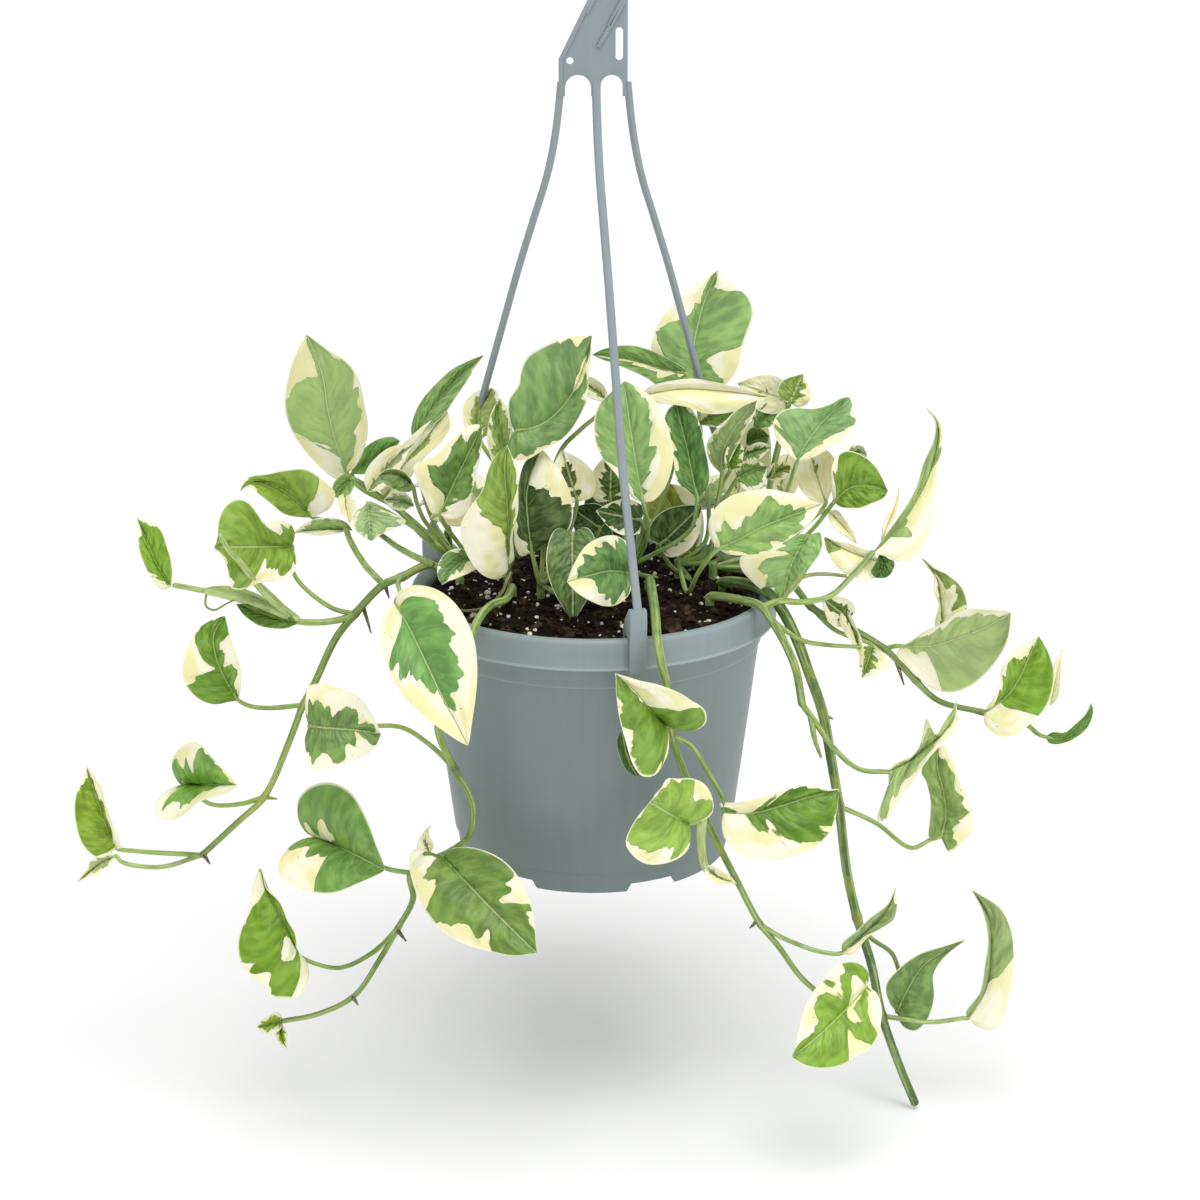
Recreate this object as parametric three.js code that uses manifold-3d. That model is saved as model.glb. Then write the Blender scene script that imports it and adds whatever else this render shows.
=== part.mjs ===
// A variegated pothos in a hanging plastic pot with a three-legged moulded hanger.
// Millimetres, +Z up. The origin is the point where the hook bears on its support.
// Heights inside the model count from the soles of the pot's feet.
import * as THREE from "three";
import { mergeVertices } from "three/addons/utils/BufferGeometryUtils.js";
import Module from "manifold-3d";

const wasm = await Module();
wasm.setup();

// Pot: radii and heights of the turned shell.
const FOOT_RADIUS = 64;
const BASE_LINE_RADIUS = 66.2;
const BASE_LINE_HEIGHT = 11;
const STEP_RADIUS = 77.5;
const STEP_HEIGHT = 104.3;
const STEP_OUT = 0.9;
const RIM_LOWER_HEIGHT = 114.8;
const RIM_TOP_HEIGHT = 128.8;
const RIM_RADIUS = 85.2;
const WALL = 1.7;
const FLOOR_UNDERSIDE = 5;
const FLOOR_TOP = 7;
const POT_SIDES = 36;
const FEET = 6;
const FOOT_SPREAD = 36;
const FIRST_FOOT_AZIMUTH = -5;
const SKIRT_RAISE = 4;
const DRAIN_HOLES = 6;
const DRAIN_RADIUS = 4;
const DRAIN_CIRCLE = 42;
const DRAIN_SIDES = 8;
const CUT_DEPTH = 20;

// Soil: a low heap inside the wall, with a lumpy surface.
const GAP = 0.35;
const SOIL_EDGE_HEIGHT = 120.3;
const SOIL_HEAP = 6;
const SOIL_LUMP = 1.1;
const SOIL_RINGS = 4;
const SOIL_SIDES = 26;
const ROOT_DEPTH = 20;
const ROOT_HOLE_LENGTH = ROOT_DEPTH + 30;
const ROOT_SIDES = 6;

// Hanger: head plate, hook, legs and clips.
const PLATE_THICK = 2.6;
const RIB_THICK = 4.6;
const RIB_WIDTH = 2;
const PLATE_LEFT = -15;
const PLATE_RIGHT = 15.2;
const PLATE_BOTTOM = 352;
const PLATE_SHOULDER = 367.6;
const SLANT_TOP = [-1.2, 393.1];
const INNER_RIB_FOOT = [2.2, 373.1];
const INNER_RIB_TOP = [14, 393.1];
const ARCHES = [[-12.2, -0.8], [3.4, 13]];
const ARCH_TOP = 361.2;
const HOLE_RADIUS = 1.6;
const EYE_HOLE = [-10, 367.2];
const SLOT_FOOT = [11.5, 369];
const SLOT_HEAD = [11.5, 380];
const NECK_WIDTH = 13.2;
const HOOK_TIP_WIDTH = 8.5;
const HOOK_MEAN_RADIUS = 21;
const HOOK_BAND = 11;
const NECK_LEAN = 28.5;
const NECK_ROOT = [-4.5, -8.25];
const HOOK_END_ANGLE = 206;
const LEG_WIDTH = 3.7;
const LEG_THICK = 2.8;
const LEG_TOP = 358;
const LEG_FOOT = 141;
const LEG_SPREAD = [[0, 0], [0.1, 0.035], [0.19, 0.1], [0.377, 0.295], [0.745, 0.646], [1, 1]];
const LEG_FALLS = [0, 0.06, 0.12, 0.19, 0.28, 0.377, 0.5, 0.62, 0.745, 0.88, 1];
const LEGS = [
  { azimuth: 13, top: 1.3 },
  { azimuth: 116, top: 15.2 },
  { azimuth: -115, top: -13.9 },
];
const CLIP_WIDTH = 7.6;
const LEG_STEPS = 10;
const HOOK_STEPS = 11;

const hookCentreHeight = (() => {
  const lean = THREE.MathUtils.degToRad(NECK_LEAN);
  const startX = (SLANT_TOP[0] + INNER_RIB_TOP[0]) / 2;
  const run = (HOOK_MEAN_RADIUS * Math.cos(lean) - startX) / Math.sin(lean);
  return SLANT_TOP[1] + run * Math.cos(lean) + HOOK_MEAN_RADIUS * Math.sin(lean);
})();
const HANG_HEIGHT = hookCentreHeight + HOOK_MEAN_RADIUS - HOOK_BAND / 2;

// Faces thinner than this are merged into their neighbours.
const SLIVER = 0.12;

const COLOURS = {
  plastic: new THREE.Color(0x8b989d),
  soil: new THREE.Color(0x2d2119),
  leaf: new THREE.Color(0x86a84e),
};

// A view of the plant from the front: the eye, its downward pitch and its focal length. A place
// on the plant is written [column, row, depth]: where it is seen in a frame of 1200 by 1200
// squares, and how far behind the pot's axis it lies in millimetres.
const EYE = new THREE.Vector3(3.1, -1130.5, 486.5);
const EYE_PITCH = THREE.MathUtils.degToRad(17.96);
const EYE_FOCAL = 2551;
const FRAME_CENTRE = 600;

function seen([column, row, depth]) {
  const across = (column - FRAME_CENTRE) / EYE_FOCAL;
  const above = (FRAME_CENTRE - row) / EYE_FOCAL;
  const ray = new THREE.Vector3(
    across,
    Math.cos(EYE_PITCH) + above * Math.sin(EYE_PITCH),
    above * Math.cos(EYE_PITCH) - Math.sin(EYE_PITCH),
  );
  return EYE.clone().addScaledVector(ray, (depth - EYE.y) / ray.y);
}

// Joins and cuts.
function solidOf(positions, triangles) {
  return new wasm.Manifold(new wasm.Mesh({
    numProp: 3,
    vertProperties: Float32Array.from(positions),
    triVerts: Uint32Array.from(triangles),
  }));
}

function solidFrom(geometry) {
  geometry.deleteAttribute("normal");
  geometry.deleteAttribute("uv");
  const merged = mergeVertices(geometry, 1e-4);
  const corners = merged.getIndex().array;
  const triangles = [];
  for (let i = 0; i < corners.length; i += 3) {
    const [a, b, c] = corners.subarray(i, i + 3);
    if (a !== b && b !== c && c !== a) triangles.push(a, b, c);
  }
  return solidOf(merged.getAttribute("position").array, triangles);
}

function join(solids) {
  return wasm.Manifold.union(solids);
}

function meshFrom(solid, name, colour, roughness) {
  const { vertProperties, triVerts } = solid.getMesh();
  const geometry = new THREE.BufferGeometry();
  geometry.setAttribute("position", new THREE.BufferAttribute(vertProperties, 3));
  geometry.setIndex(Array.from(triVerts));
  geometry.computeVertexNormals();
  const material = new THREE.MeshStandardMaterial({ color: colour, roughness, metalness: 0 });
  const mesh = new THREE.Mesh(geometry, material);
  mesh.name = name;
  return mesh;
}

// A closed round tube through points, with a radius at each end. No tube starts along FIRST_SPOKE.
const FIRST_SPOKE = [0.31, 0.52, 0.79];

function tube(points, startRadius, endRadius, sides, stepsPerSpan) {
  const curve = new THREE.CatmullRomCurve3(points, false, "centripetal");
  const steps = (points.length - 1) * stepsPerSpan;
  const normal = new THREE.Vector3(...FIRST_SPOKE);
  const positions = [];
  for (let i = 0; i <= steps; i += 1) {
    const centre = curve.getPoint(i / steps);
    const tangent = curve.getTangent(i / steps);
    normal.addScaledVector(tangent, -normal.dot(tangent)).normalize();
    const binormal = tangent.clone().cross(normal);
    const radius = THREE.MathUtils.lerp(startRadius, endRadius, i / steps);
    for (let k = 0; k < sides; k += 1) {
      const angle = (2 * Math.PI * k) / sides;
      const p = centre.clone()
        .addScaledVector(normal, radius * Math.cos(angle))
        .addScaledVector(binormal, radius * Math.sin(angle));
      positions.push(p.x, p.y, p.z);
    }
  }
  const capStart = positions.length / 3;
  positions.push(...points[0].toArray(), ...points[points.length - 1].toArray());
  const triangles = [];
  for (let k = 0; k < sides; k += 1) {
    const next = (k + 1) % sides;
    const last = steps * sides;
    triangles.push(capStart, next, k, capStart + 1, last + k, last + next);
    for (let i = 0; i < steps; i += 1) {
      const a = i * sides + k;
      const b = i * sides + next;
      triangles.push(a, b, b + sides, a, b + sides, a + sides);
    }
  }
  return solidOf(positions, triangles);
}

function turned(profile, sides) {
  const points = profile.map(([radius, height]) => new THREE.Vector2(radius, height));
  return new THREE.LatheGeometry(points, sides).rotateX(Math.PI / 2);
}

// A flat shape drawn across (x) and up (y), stood upright and centred on its thickness.
function upright(shape, thickness) {
  const geometry = new THREE.ExtrudeGeometry(shape, {
    depth: thickness,
    bevelEnabled: false,
    curveSegments: 5,
  });
  return geometry.translate(0, 0, -thickness / 2).rotateX(Math.PI / 2);
}

// Pot
function makePot() {
  const inner = (radius) => radius - WALL;
  const profile = [
    [FOOT_RADIUS - 2.4, 0],
    [FOOT_RADIUS, 0],
    [BASE_LINE_RADIUS - 1, BASE_LINE_HEIGHT - 0.6],
    [BASE_LINE_RADIUS, BASE_LINE_HEIGHT],
    [STEP_RADIUS, STEP_HEIGHT],
    [STEP_RADIUS + STEP_OUT, STEP_HEIGHT + 0.6],
    [STEP_RADIUS + STEP_OUT + 0.8, RIM_LOWER_HEIGHT],
    [RIM_RADIUS - 0.5, RIM_LOWER_HEIGHT],
    [RIM_RADIUS, RIM_LOWER_HEIGHT + 0.8],
    [RIM_RADIUS - 0.5, RIM_TOP_HEIGHT - 1.6],
    [RIM_RADIUS - 2.4, RIM_TOP_HEIGHT],
    [RIM_RADIUS - 5.4, RIM_TOP_HEIGHT - 0.8],
    [inner(STEP_RADIUS + STEP_OUT + 1), RIM_TOP_HEIGHT - 3],
    [inner(STEP_RADIUS), STEP_HEIGHT],
    [inner(BASE_LINE_RADIUS), BASE_LINE_HEIGHT],
    [inner(BASE_LINE_RADIUS) - 1.5, FLOOR_TOP],
    [0, FLOOR_TOP],
    [0, FLOOR_UNDERSIDE],
    [FOOT_RADIUS - 2.4, FLOOR_UNDERSIDE],
  ];
  profile.push(profile[0]);
  const cuts = [];
  const pitch = 360 / FEET;
  const half = THREE.MathUtils.degToRad((pitch - FOOT_SPREAD) / 2) * FOOT_RADIUS;
  for (let i = 0; i < FEET; i += 1) {
    const shape = new THREE.Shape();
    shape.moveTo(-half, -1);
    shape.lineTo(half, -1);
    shape.lineTo(half - 3, SKIRT_RAISE);
    shape.lineTo(-half + 3, SKIRT_RAISE);
    shape.closePath();
    const azimuth = THREE.MathUtils.degToRad(FIRST_FOOT_AZIMUTH + (i + 0.5) * pitch);
    cuts.push(solidFrom(upright(shape, CUT_DEPTH).translate(0, -FOOT_RADIUS, 0).rotateZ(azimuth)));
  }
  for (let i = 0; i < DRAIN_HOLES; i += 1) {
    const hole = new THREE.CylinderGeometry(DRAIN_RADIUS, DRAIN_RADIUS, CUT_DEPTH, DRAIN_SIDES);
    hole.rotateX(Math.PI / 2).translate(DRAIN_CIRCLE, 0, FLOOR_TOP);
    cuts.push(solidFrom(hole.rotateZ((2 * Math.PI * i) / DRAIN_HOLES)));
  }
  return solidFrom(turned(profile, POT_SIDES)).subtract(join(cuts));
}

// Soil
const SOIL_RADIUS = STEP_RADIUS - WALL - GAP + 0.5;

function soilHeight(x, y) {
  const out = Math.min(1, Math.hypot(x, y) / SOIL_RADIUS);
  const lumps = Math.sin(x * 0.21 + 1.3) * Math.cos(y * 0.17) + Math.sin((x + y) * 0.33) * 0.6;
  return SOIL_EDGE_HEIGHT + SOIL_HEAP * (1 - out * out) + SOIL_LUMP * lumps * (1 - out ** 4);
}

function makeSoil(stems) {
  const inner = (radius) => radius - WALL - GAP;
  const profile = [[0, FLOOR_TOP + GAP], [inner(BASE_LINE_RADIUS) - 1.6, FLOOR_TOP + GAP]];
  profile.push([inner(BASE_LINE_RADIUS), BASE_LINE_HEIGHT], [inner(STEP_RADIUS), STEP_HEIGHT]);
  for (let i = SOIL_RINGS; i >= 0; i -= 1) {
    profile.push([(SOIL_RADIUS * i) / SOIL_RINGS, SOIL_EDGE_HEIGHT]);
  }
  const heap = turned(profile, SOIL_SIDES);
  const places = heap.getAttribute("position");
  for (let i = 0; i < places.count; i += 1) {
    const onTop = Math.abs(places.getZ(i) - SOIL_EDGE_HEIGHT) < 0.01;
    if (onTop) places.setZ(i, soilHeight(places.getX(i), places.getY(i)));
  }
  const holes = stems.map(({ root, girth }) => {
    const radius = (girth + GAP) / Math.cos(Math.PI / ROOT_SIDES);
    const hole = new THREE.CylinderGeometry(radius, radius, ROOT_HOLE_LENGTH, ROOT_SIDES);
    const foot = soilHeight(...root) - ROOT_DEPTH - GAP;
    hole.rotateX(Math.PI / 2).translate(...root, foot + ROOT_HOLE_LENGTH / 2);
    return solidFrom(hole);
  });
  return solidFrom(heap).subtract(join(holes));
}

// Hanger
function band(centres, widths, thickness) {
  const left = [];
  const right = [];
  centres.forEach((point, i) => {
    const before = centres[Math.max(0, i - 1)];
    const after = centres[Math.min(centres.length - 1, i + 1)];
    const along = after.clone().sub(before).normalize();
    const across = new THREE.Vector2(-along.y, along.x).multiplyScalar(widths[i] / 2);
    left.push(point.clone().add(across));
    right.push(point.clone().sub(across));
  });
  return solidFrom(upright(new THREE.Shape([...left, ...right.reverse()]), thickness));
}

function hookLine() {
  const lean = THREE.MathUtils.degToRad(NECK_LEAN);
  const centre = new THREE.Vector2(0, hookCentreHeight);
  const neckFoot = new THREE.Vector2((SLANT_TOP[0] + INNER_RIB_TOP[0]) / 2, SLANT_TOP[1]);
  const points = [neckFoot.clone().add(new THREE.Vector2(...NECK_ROOT)), neckFoot];
  for (let i = 0; i <= HOOK_STEPS; i += 1) {
    const part = i / HOOK_STEPS;
    const angle = THREE.MathUtils.lerp(-lean, THREE.MathUtils.degToRad(HOOK_END_ANGLE), part);
    const spoke = new THREE.Vector2(Math.cos(angle), Math.sin(angle));
    points.push(centre.clone().addScaledVector(spoke, HOOK_MEAN_RADIUS));
  }
  return points;
}

function hookWidth(i, count) {
  if (i < 2) return NECK_WIDTH;
  return THREE.MathUtils.lerp(HOOK_BAND + 1.2, HOOK_TIP_WIDTH, (i - 2) / (count - 3));
}

function offsetLine(points, distanceAt) {
  return points.map((point, i) => {
    const before = points[Math.max(0, i - 1)];
    const after = points[Math.min(points.length - 1, i + 1)];
    const along = after.clone().sub(before).normalize();
    return new THREE.Vector2(-along.y, along.x).multiplyScalar(distanceAt(i)).add(point);
  });
}

function headPlate() {
  const shape = new THREE.Shape();
  shape.moveTo(PLATE_LEFT, PLATE_BOTTOM);
  shape.lineTo(PLATE_LEFT + 2.8, PLATE_BOTTOM);
  ARCHES.forEach(([from, to], i) => {
    const radius = (to - from) / 2;
    shape.lineTo(from, ARCH_TOP - radius);
    shape.absarc((from + to) / 2, ARCH_TOP - radius, radius, Math.PI, 0, true);
    shape.lineTo(to, PLATE_BOTTOM);
    shape.lineTo(i === 0 ? ARCHES[1][0] : PLATE_RIGHT, PLATE_BOTTOM);
  });
  shape.lineTo(PLATE_RIGHT, SLANT_TOP[1]);
  shape.lineTo(SLANT_TOP[0], SLANT_TOP[1]);
  shape.lineTo(PLATE_LEFT, PLATE_SHOULDER);
  shape.closePath();
  const eye = new THREE.Path();
  eye.absarc(...EYE_HOLE, HOLE_RADIUS, 0, 2 * Math.PI, true);
  const slot = new THREE.Path();
  slot.absarc(...SLOT_FOOT, HOLE_RADIUS, Math.PI, 2 * Math.PI, false);
  slot.absarc(...SLOT_HEAD, HOLE_RADIUS, 0, Math.PI, false);
  shape.holes.push(eye, slot);
  return solidFrom(upright(shape, PLATE_THICK));
}

function legPoint(leg, fall) {
  const azimuth = THREE.MathUtils.degToRad(leg.azimuth);
  const reach = RIM_RADIUS + 1.6;
  const end = new THREE.Vector2(Math.sin(azimuth) * reach, -Math.cos(azimuth) * reach);
  const k = LEG_SPREAD.findIndex(([f]) => f >= fall);
  const [f0, s0] = LEG_SPREAD[Math.max(0, k - 1)];
  const [f1, s1] = LEG_SPREAD[Math.max(1, k)];
  const spread = THREE.MathUtils.mapLinear(fall, f0, f1, s0, s1);
  const height = THREE.MathUtils.lerp(LEG_TOP, LEG_FOOT, fall);
  return new THREE.Vector3(THREE.MathUtils.lerp(leg.top, end.x, spread), end.y * spread, height);
}

function makeLeg(leg) {
  const curve = new THREE.CatmullRomCurve3(LEG_FALLS.map((fall) => legPoint(leg, fall)));
  const across = LEG_WIDTH / 2;
  const deep = LEG_THICK / 2;
  const section = new THREE.Shape([
    [-across, 0],
    [-across * 0.6, deep],
    [across * 0.6, deep],
    [across, 0],
    [across * 0.6, -deep],
    [-across * 0.6, -deep],
  ].map(([x, y]) => new THREE.Vector2(x, y)));
  return solidFrom(new THREE.ExtrudeGeometry(section, { steps: LEG_STEPS, extrudePath: curve }));
}

function makeClip(azimuth) {
  const wallInside = STEP_RADIUS + STEP_OUT - WALL - GAP;
  const shape = new THREE.Shape([
    [RIM_RADIUS + GAP + 0.1, RIM_LOWER_HEIGHT - 1],
    [RIM_RADIUS + GAP + 2.6, RIM_LOWER_HEIGHT - 1],
    [RIM_RADIUS + GAP + 3, LEG_FOOT - 3],
    [RIM_RADIUS + 2.6, LEG_FOOT + 2],
    [RIM_RADIUS - 0.6, LEG_FOOT + 2],
    [wallInside + 1, LEG_FOOT - 5],
    [wallInside - 2, RIM_TOP_HEIGHT + 3],
    [wallInside - 2, SOIL_EDGE_HEIGHT + 1.4],
    [wallInside, SOIL_EDGE_HEIGHT + 1.4],
    [wallInside, RIM_TOP_HEIGHT + GAP],
    [RIM_RADIUS + GAP + 0.1, RIM_TOP_HEIGHT + GAP],
  ].map(([radius, height]) => new THREE.Vector2(radius, height)));
  const clip = upright(shape, CLIP_WIDTH);
  return solidFrom(clip.rotateZ(THREE.MathUtils.degToRad(azimuth - 90)));
}

function makeHanger() {
  const line = hookLine();
  const widths = line.map((_, i) => hookWidth(i, line.length));
  const edge = (sign) => offsetLine(line, (i) => sign * (widths[i] - RIB_WIDTH) / 2);
  const ribWidths = line.map(() => RIB_WIDTH);
  const slant = [[PLATE_LEFT + 1, PLATE_BOTTOM], [PLATE_LEFT + 1, PLATE_SHOULDER], SLANT_TOP];
  const diagonal = [INNER_RIB_FOOT, INNER_RIB_TOP];
  const strip = (pairs, thickness) => band(
    pairs.map(([x, y]) => new THREE.Vector2(x, y)),
    pairs.map(() => RIB_WIDTH),
    thickness,
  );
  return join([
    headPlate(),
    band(line, widths, PLATE_THICK),
    band(edge(1), ribWidths, RIB_THICK),
    band(edge(-1), ribWidths, RIB_THICK),
    strip(slant, RIB_THICK),
    strip(diagonal, RIB_THICK),
    ...LEGS.map(makeLeg),
    ...LEGS.map(({ azimuth }) => makeClip(azimuth)),
  ]).simplify(SLIVER / 2);
}

// Leaves. The flat outline of a blade is drawn from its stalk (0) to its tip (1) on each side of
// the midrib, with a lobe that reaches back beside the stalk.
const EDGE_RISE = 0.6;
const EDGE_FALL = 1.05;
const EDGE_PEAK = 0.3389;
const LOBE_AT = 0.1;
const VEIN_LAG = 1.25;
const BLADE_THICK = 0.8;
const STALK_RADIUS = 1.05;
const STALK_FOOT = 1.15;
const STALK_HEAD = 0.85;
const STALK_SIDES = 5;
const CUTTING_STALK_SIDES = 4;
const STALK_GRIP = 0.15;

const LARGE_ROWS = [0, 0.07, 0.2, 0.4, 0.63, 0.85, 1];
const SMALL_ROWS = [0, 0.09, 0.27, 0.55, 0.82, 1];
const TINY_ROWS = [0, 0.12, 0.5, 1];
const LARGE_BLADE = 37;
const TINY_BLADE = 18;

const BLADE_DEFAULTS = {
  turn: 0,
  arch: 0,
  sweep: 0,
  twist: 0,
  fold: [12, 12],
  curl: [0, 0],
  lobe: 0.12,
  wave: 0.6,
  stalkRadius: STALK_RADIUS,
};

function bladeFrame(leaf, place, outlook) {
  const base = place(leaf.base);
  const tip = place(leaf.tip);
  const length = base.distanceTo(tip);
  const forward = tip.clone().sub(base).divideScalar(length);
  const toward = outlook.clone().sub(base).normalize();
  const facing = toward.addScaledVector(forward, -toward.dot(forward)).normalize();
  const turn = THREE.MathUtils.degToRad(leaf.turn);
  const face = facing.clone().applyAxisAngle(forward, turn);
  const right = forward.clone().cross(face);
  return { base, length, forward, face, right };
}

// The place on a blade at u (stalk to tip) on the side -1 (left) or 1 (right), t of the way from
// the midrib to the edge. The upper side is the one that face points to.
function bladePlace(leaf, frame, u, side, t) {
  const { base, length, forward, face, right } = frame;
  const half = (u ** EDGE_RISE * (1 - u) ** EDGE_FALL) / EDGE_PEAK;
  const lobe = leaf.lobe * (u / LOBE_AT) * Math.exp(1 - u / LOBE_AT);
  const x = (1 - t) * u ** VEIN_LAG + t * (u - lobe);
  const y = (t * half * leaf.width) / 2;
  const bow = 4 * x * (1 - Math.max(0, x));
  const slope = 4 - 8 * Math.max(0, x);
  const along = forward.clone()
    .addScaledVector(face, leaf.arch * slope)
    .addScaledVector(right, leaf.sweep * slope)
    .normalize();
  const twist = THREE.MathUtils.degToRad(leaf.twist) * (x - 0.5);
  const up = face.clone().addScaledVector(along, -face.dot(along)).normalize();
  up.applyAxisAngle(along, twist);
  const out = along.clone().cross(up).multiplyScalar(side);
  const k = side < 0 ? 0 : 1;
  const fold = THREE.MathUtils.degToRad(leaf.fold[k]);
  const bend = (THREE.MathUtils.degToRad(leaf.curl[k]) + 1e-4) / (leaf.width / 2);
  const reach = (Math.sin(fold + bend * y) - Math.sin(fold)) / bend;
  const rise = (Math.cos(fold) - Math.cos(fold + bend * y)) / bend;
  const ripple = leaf.wave * t * t * Math.sin(9 * u + 2 * side + leaf.phase);
  return base.clone()
    .addScaledVector(forward, length * x)
    .addScaledVector(face, length * leaf.arch * bow)
    .addScaledVector(right, length * leaf.sweep * bow)
    .addScaledVector(out, reach)
    .addScaledVector(up, rise + ripple);
}

function makeBlade(leaf, frame) {
  const large = leaf.width > LARGE_BLADE;
  const small = leaf.width < TINY_BLADE ? TINY_ROWS : SMALL_ROWS;
  const rows = large ? LARGE_ROWS : small;
  const ts = large ? [1, 0.5] : [1];
  const columns = [...ts.map((t) => [-1, t]), [1, 0], ...[...ts].reverse().map((t) => [1, t])];
  const middle = [];
  const grid = rows.map((u) => {
    if (u === 0 || u === 1) {
      middle.push(bladePlace(leaf, frame, u, 1, 0));
      return [middle.length - 1];
    }
    return columns.map(([side, t]) => {
      middle.push(bladePlace(leaf, frame, u, side, t));
      return middle.length - 1;
    });
  });
  const faces = [];
  for (let i = 1; i < grid.length; i += 1) {
    const low = grid[i - 1];
    const high = grid[i];
    for (let j = 0; j + 1 < columns.length; j += 1) {
      if (low.length === 1) faces.push([low[0], high[j + 1], high[j]]);
      else if (high.length === 1) faces.push([low[j], low[j + 1], high[0]]);
      else if (j < ts.length) faces.push([low[j], low[j + 1], high[j]], [low[j + 1], high[j + 1], high[j]]);
      else faces.push([low[j], low[j + 1], high[j + 1]], [low[j], high[j + 1], high[j]]);
    }
  }
  const normals = middle.map(() => new THREE.Vector3());
  faces.forEach(([a, b, c]) => {
    const normal = middle[b].clone().sub(middle[a]).cross(middle[c].clone().sub(middle[a]));
    [a, b, c].forEach((v) => normals[v].add(normal));
  });
  const upper = middle.map((p, i) => p.clone().addScaledVector(normals[i].normalize(), BLADE_THICK / 2));
  const under = middle.map((p, i) => p.clone().addScaledVector(normals[i], -BLADE_THICK / 2));
  const lower = middle.length;
  const rim = [
    ...grid.map((row) => row[0]),
    ...grid.slice(1, -1).reverse().map((row) => row[row.length - 1]),
  ];
  const triangles = [];
  faces.forEach(([a, b, c]) => triangles.push(a, b, c, lower + a, lower + c, lower + b));
  rim.forEach((a, i) => {
    const b = rim[(i + 1) % rim.length];
    triangles.push(a, b, lower + b, a, lower + b, lower + a);
  });
  return solidOf([...upper, ...under].flatMap((p) => p.toArray()), triangles);
}

function makeStalk(leaf, frame, place, crown) {
  const into = bladePlace(leaf, frame, STALK_GRIP, 1, 0);
  const points = [...crown, ...leaf.stalk.map(place), frame.base, into];
  const sides = crown.length ? CUTTING_STALK_SIDES : STALK_SIDES;
  return tube(points, leaf.stalkRadius * STALK_FOOT, leaf.stalkRadius * STALK_HEAD, sides, 1);
}

// Stems. A vine runs from its root over the rim; a cutting ends in a crown just above the soil.
// Heights here count from the soil beside the root.
const VINE_TOP = 3.5;
const CROWN_TOP = 8;
const SHEATH_LAP = 1.5;
const SHOOT_SIDES = 5;
const RIPPLE_SHIFT = 1.7;
const FAR_ABOVE = new THREE.Vector3(0, 0, 5000);

function makeStem(stem) {
  const place = stem.inPlan ? (p) => new THREE.Vector3(...p) : seen;
  const outlook = stem.inPlan ? FAR_ABOVE : EYE;
  const [x, y] = stem.root;
  const atSoil = (above) => new THREE.Vector3(x, y, soilHeight(x, y) + above);
  const top = stem.vine ? VINE_TOP : CROWN_TOP;
  const solids = [tube([atSoil(-ROOT_DEPTH), atSoil(top)], stem.girth, stem.girth, ROOT_SIDES, 1)];
  const crown = stem.vine ? [] : [atSoil(CROWN_TOP - SHEATH_LAP)];
  if (stem.vine) {
    const line = [atSoil(SHEATH_LAP), atSoil(VINE_TOP), ...stem.vine.map(place)];
    solids.push(tube(line, stem.girth * 0.98, stem.taper, ROOT_SIDES, 1));
  }
  (stem.shoots ?? []).forEach(({ line, from, to }) => {
    solids.push(tube(line.map(place), from, to, SHOOT_SIDES, 1));
  });
  stem.blades.forEach((traits, i) => {
    const leaf = { ...traits, phase: i * RIPPLE_SHIFT };
    const frame = bladeFrame(leaf, place, outlook);
    solids.push(makeBlade(leaf, frame));
    if (leaf.stalk) solids.push(makeStalk(leaf, frame, place, crown));
  });
  return join(solids).simplify(SLIVER);
}

function blade(base, tip, width, traits) {
  return { ...BLADE_DEFAULTS, base, tip, width, ...traits };
}

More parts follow.
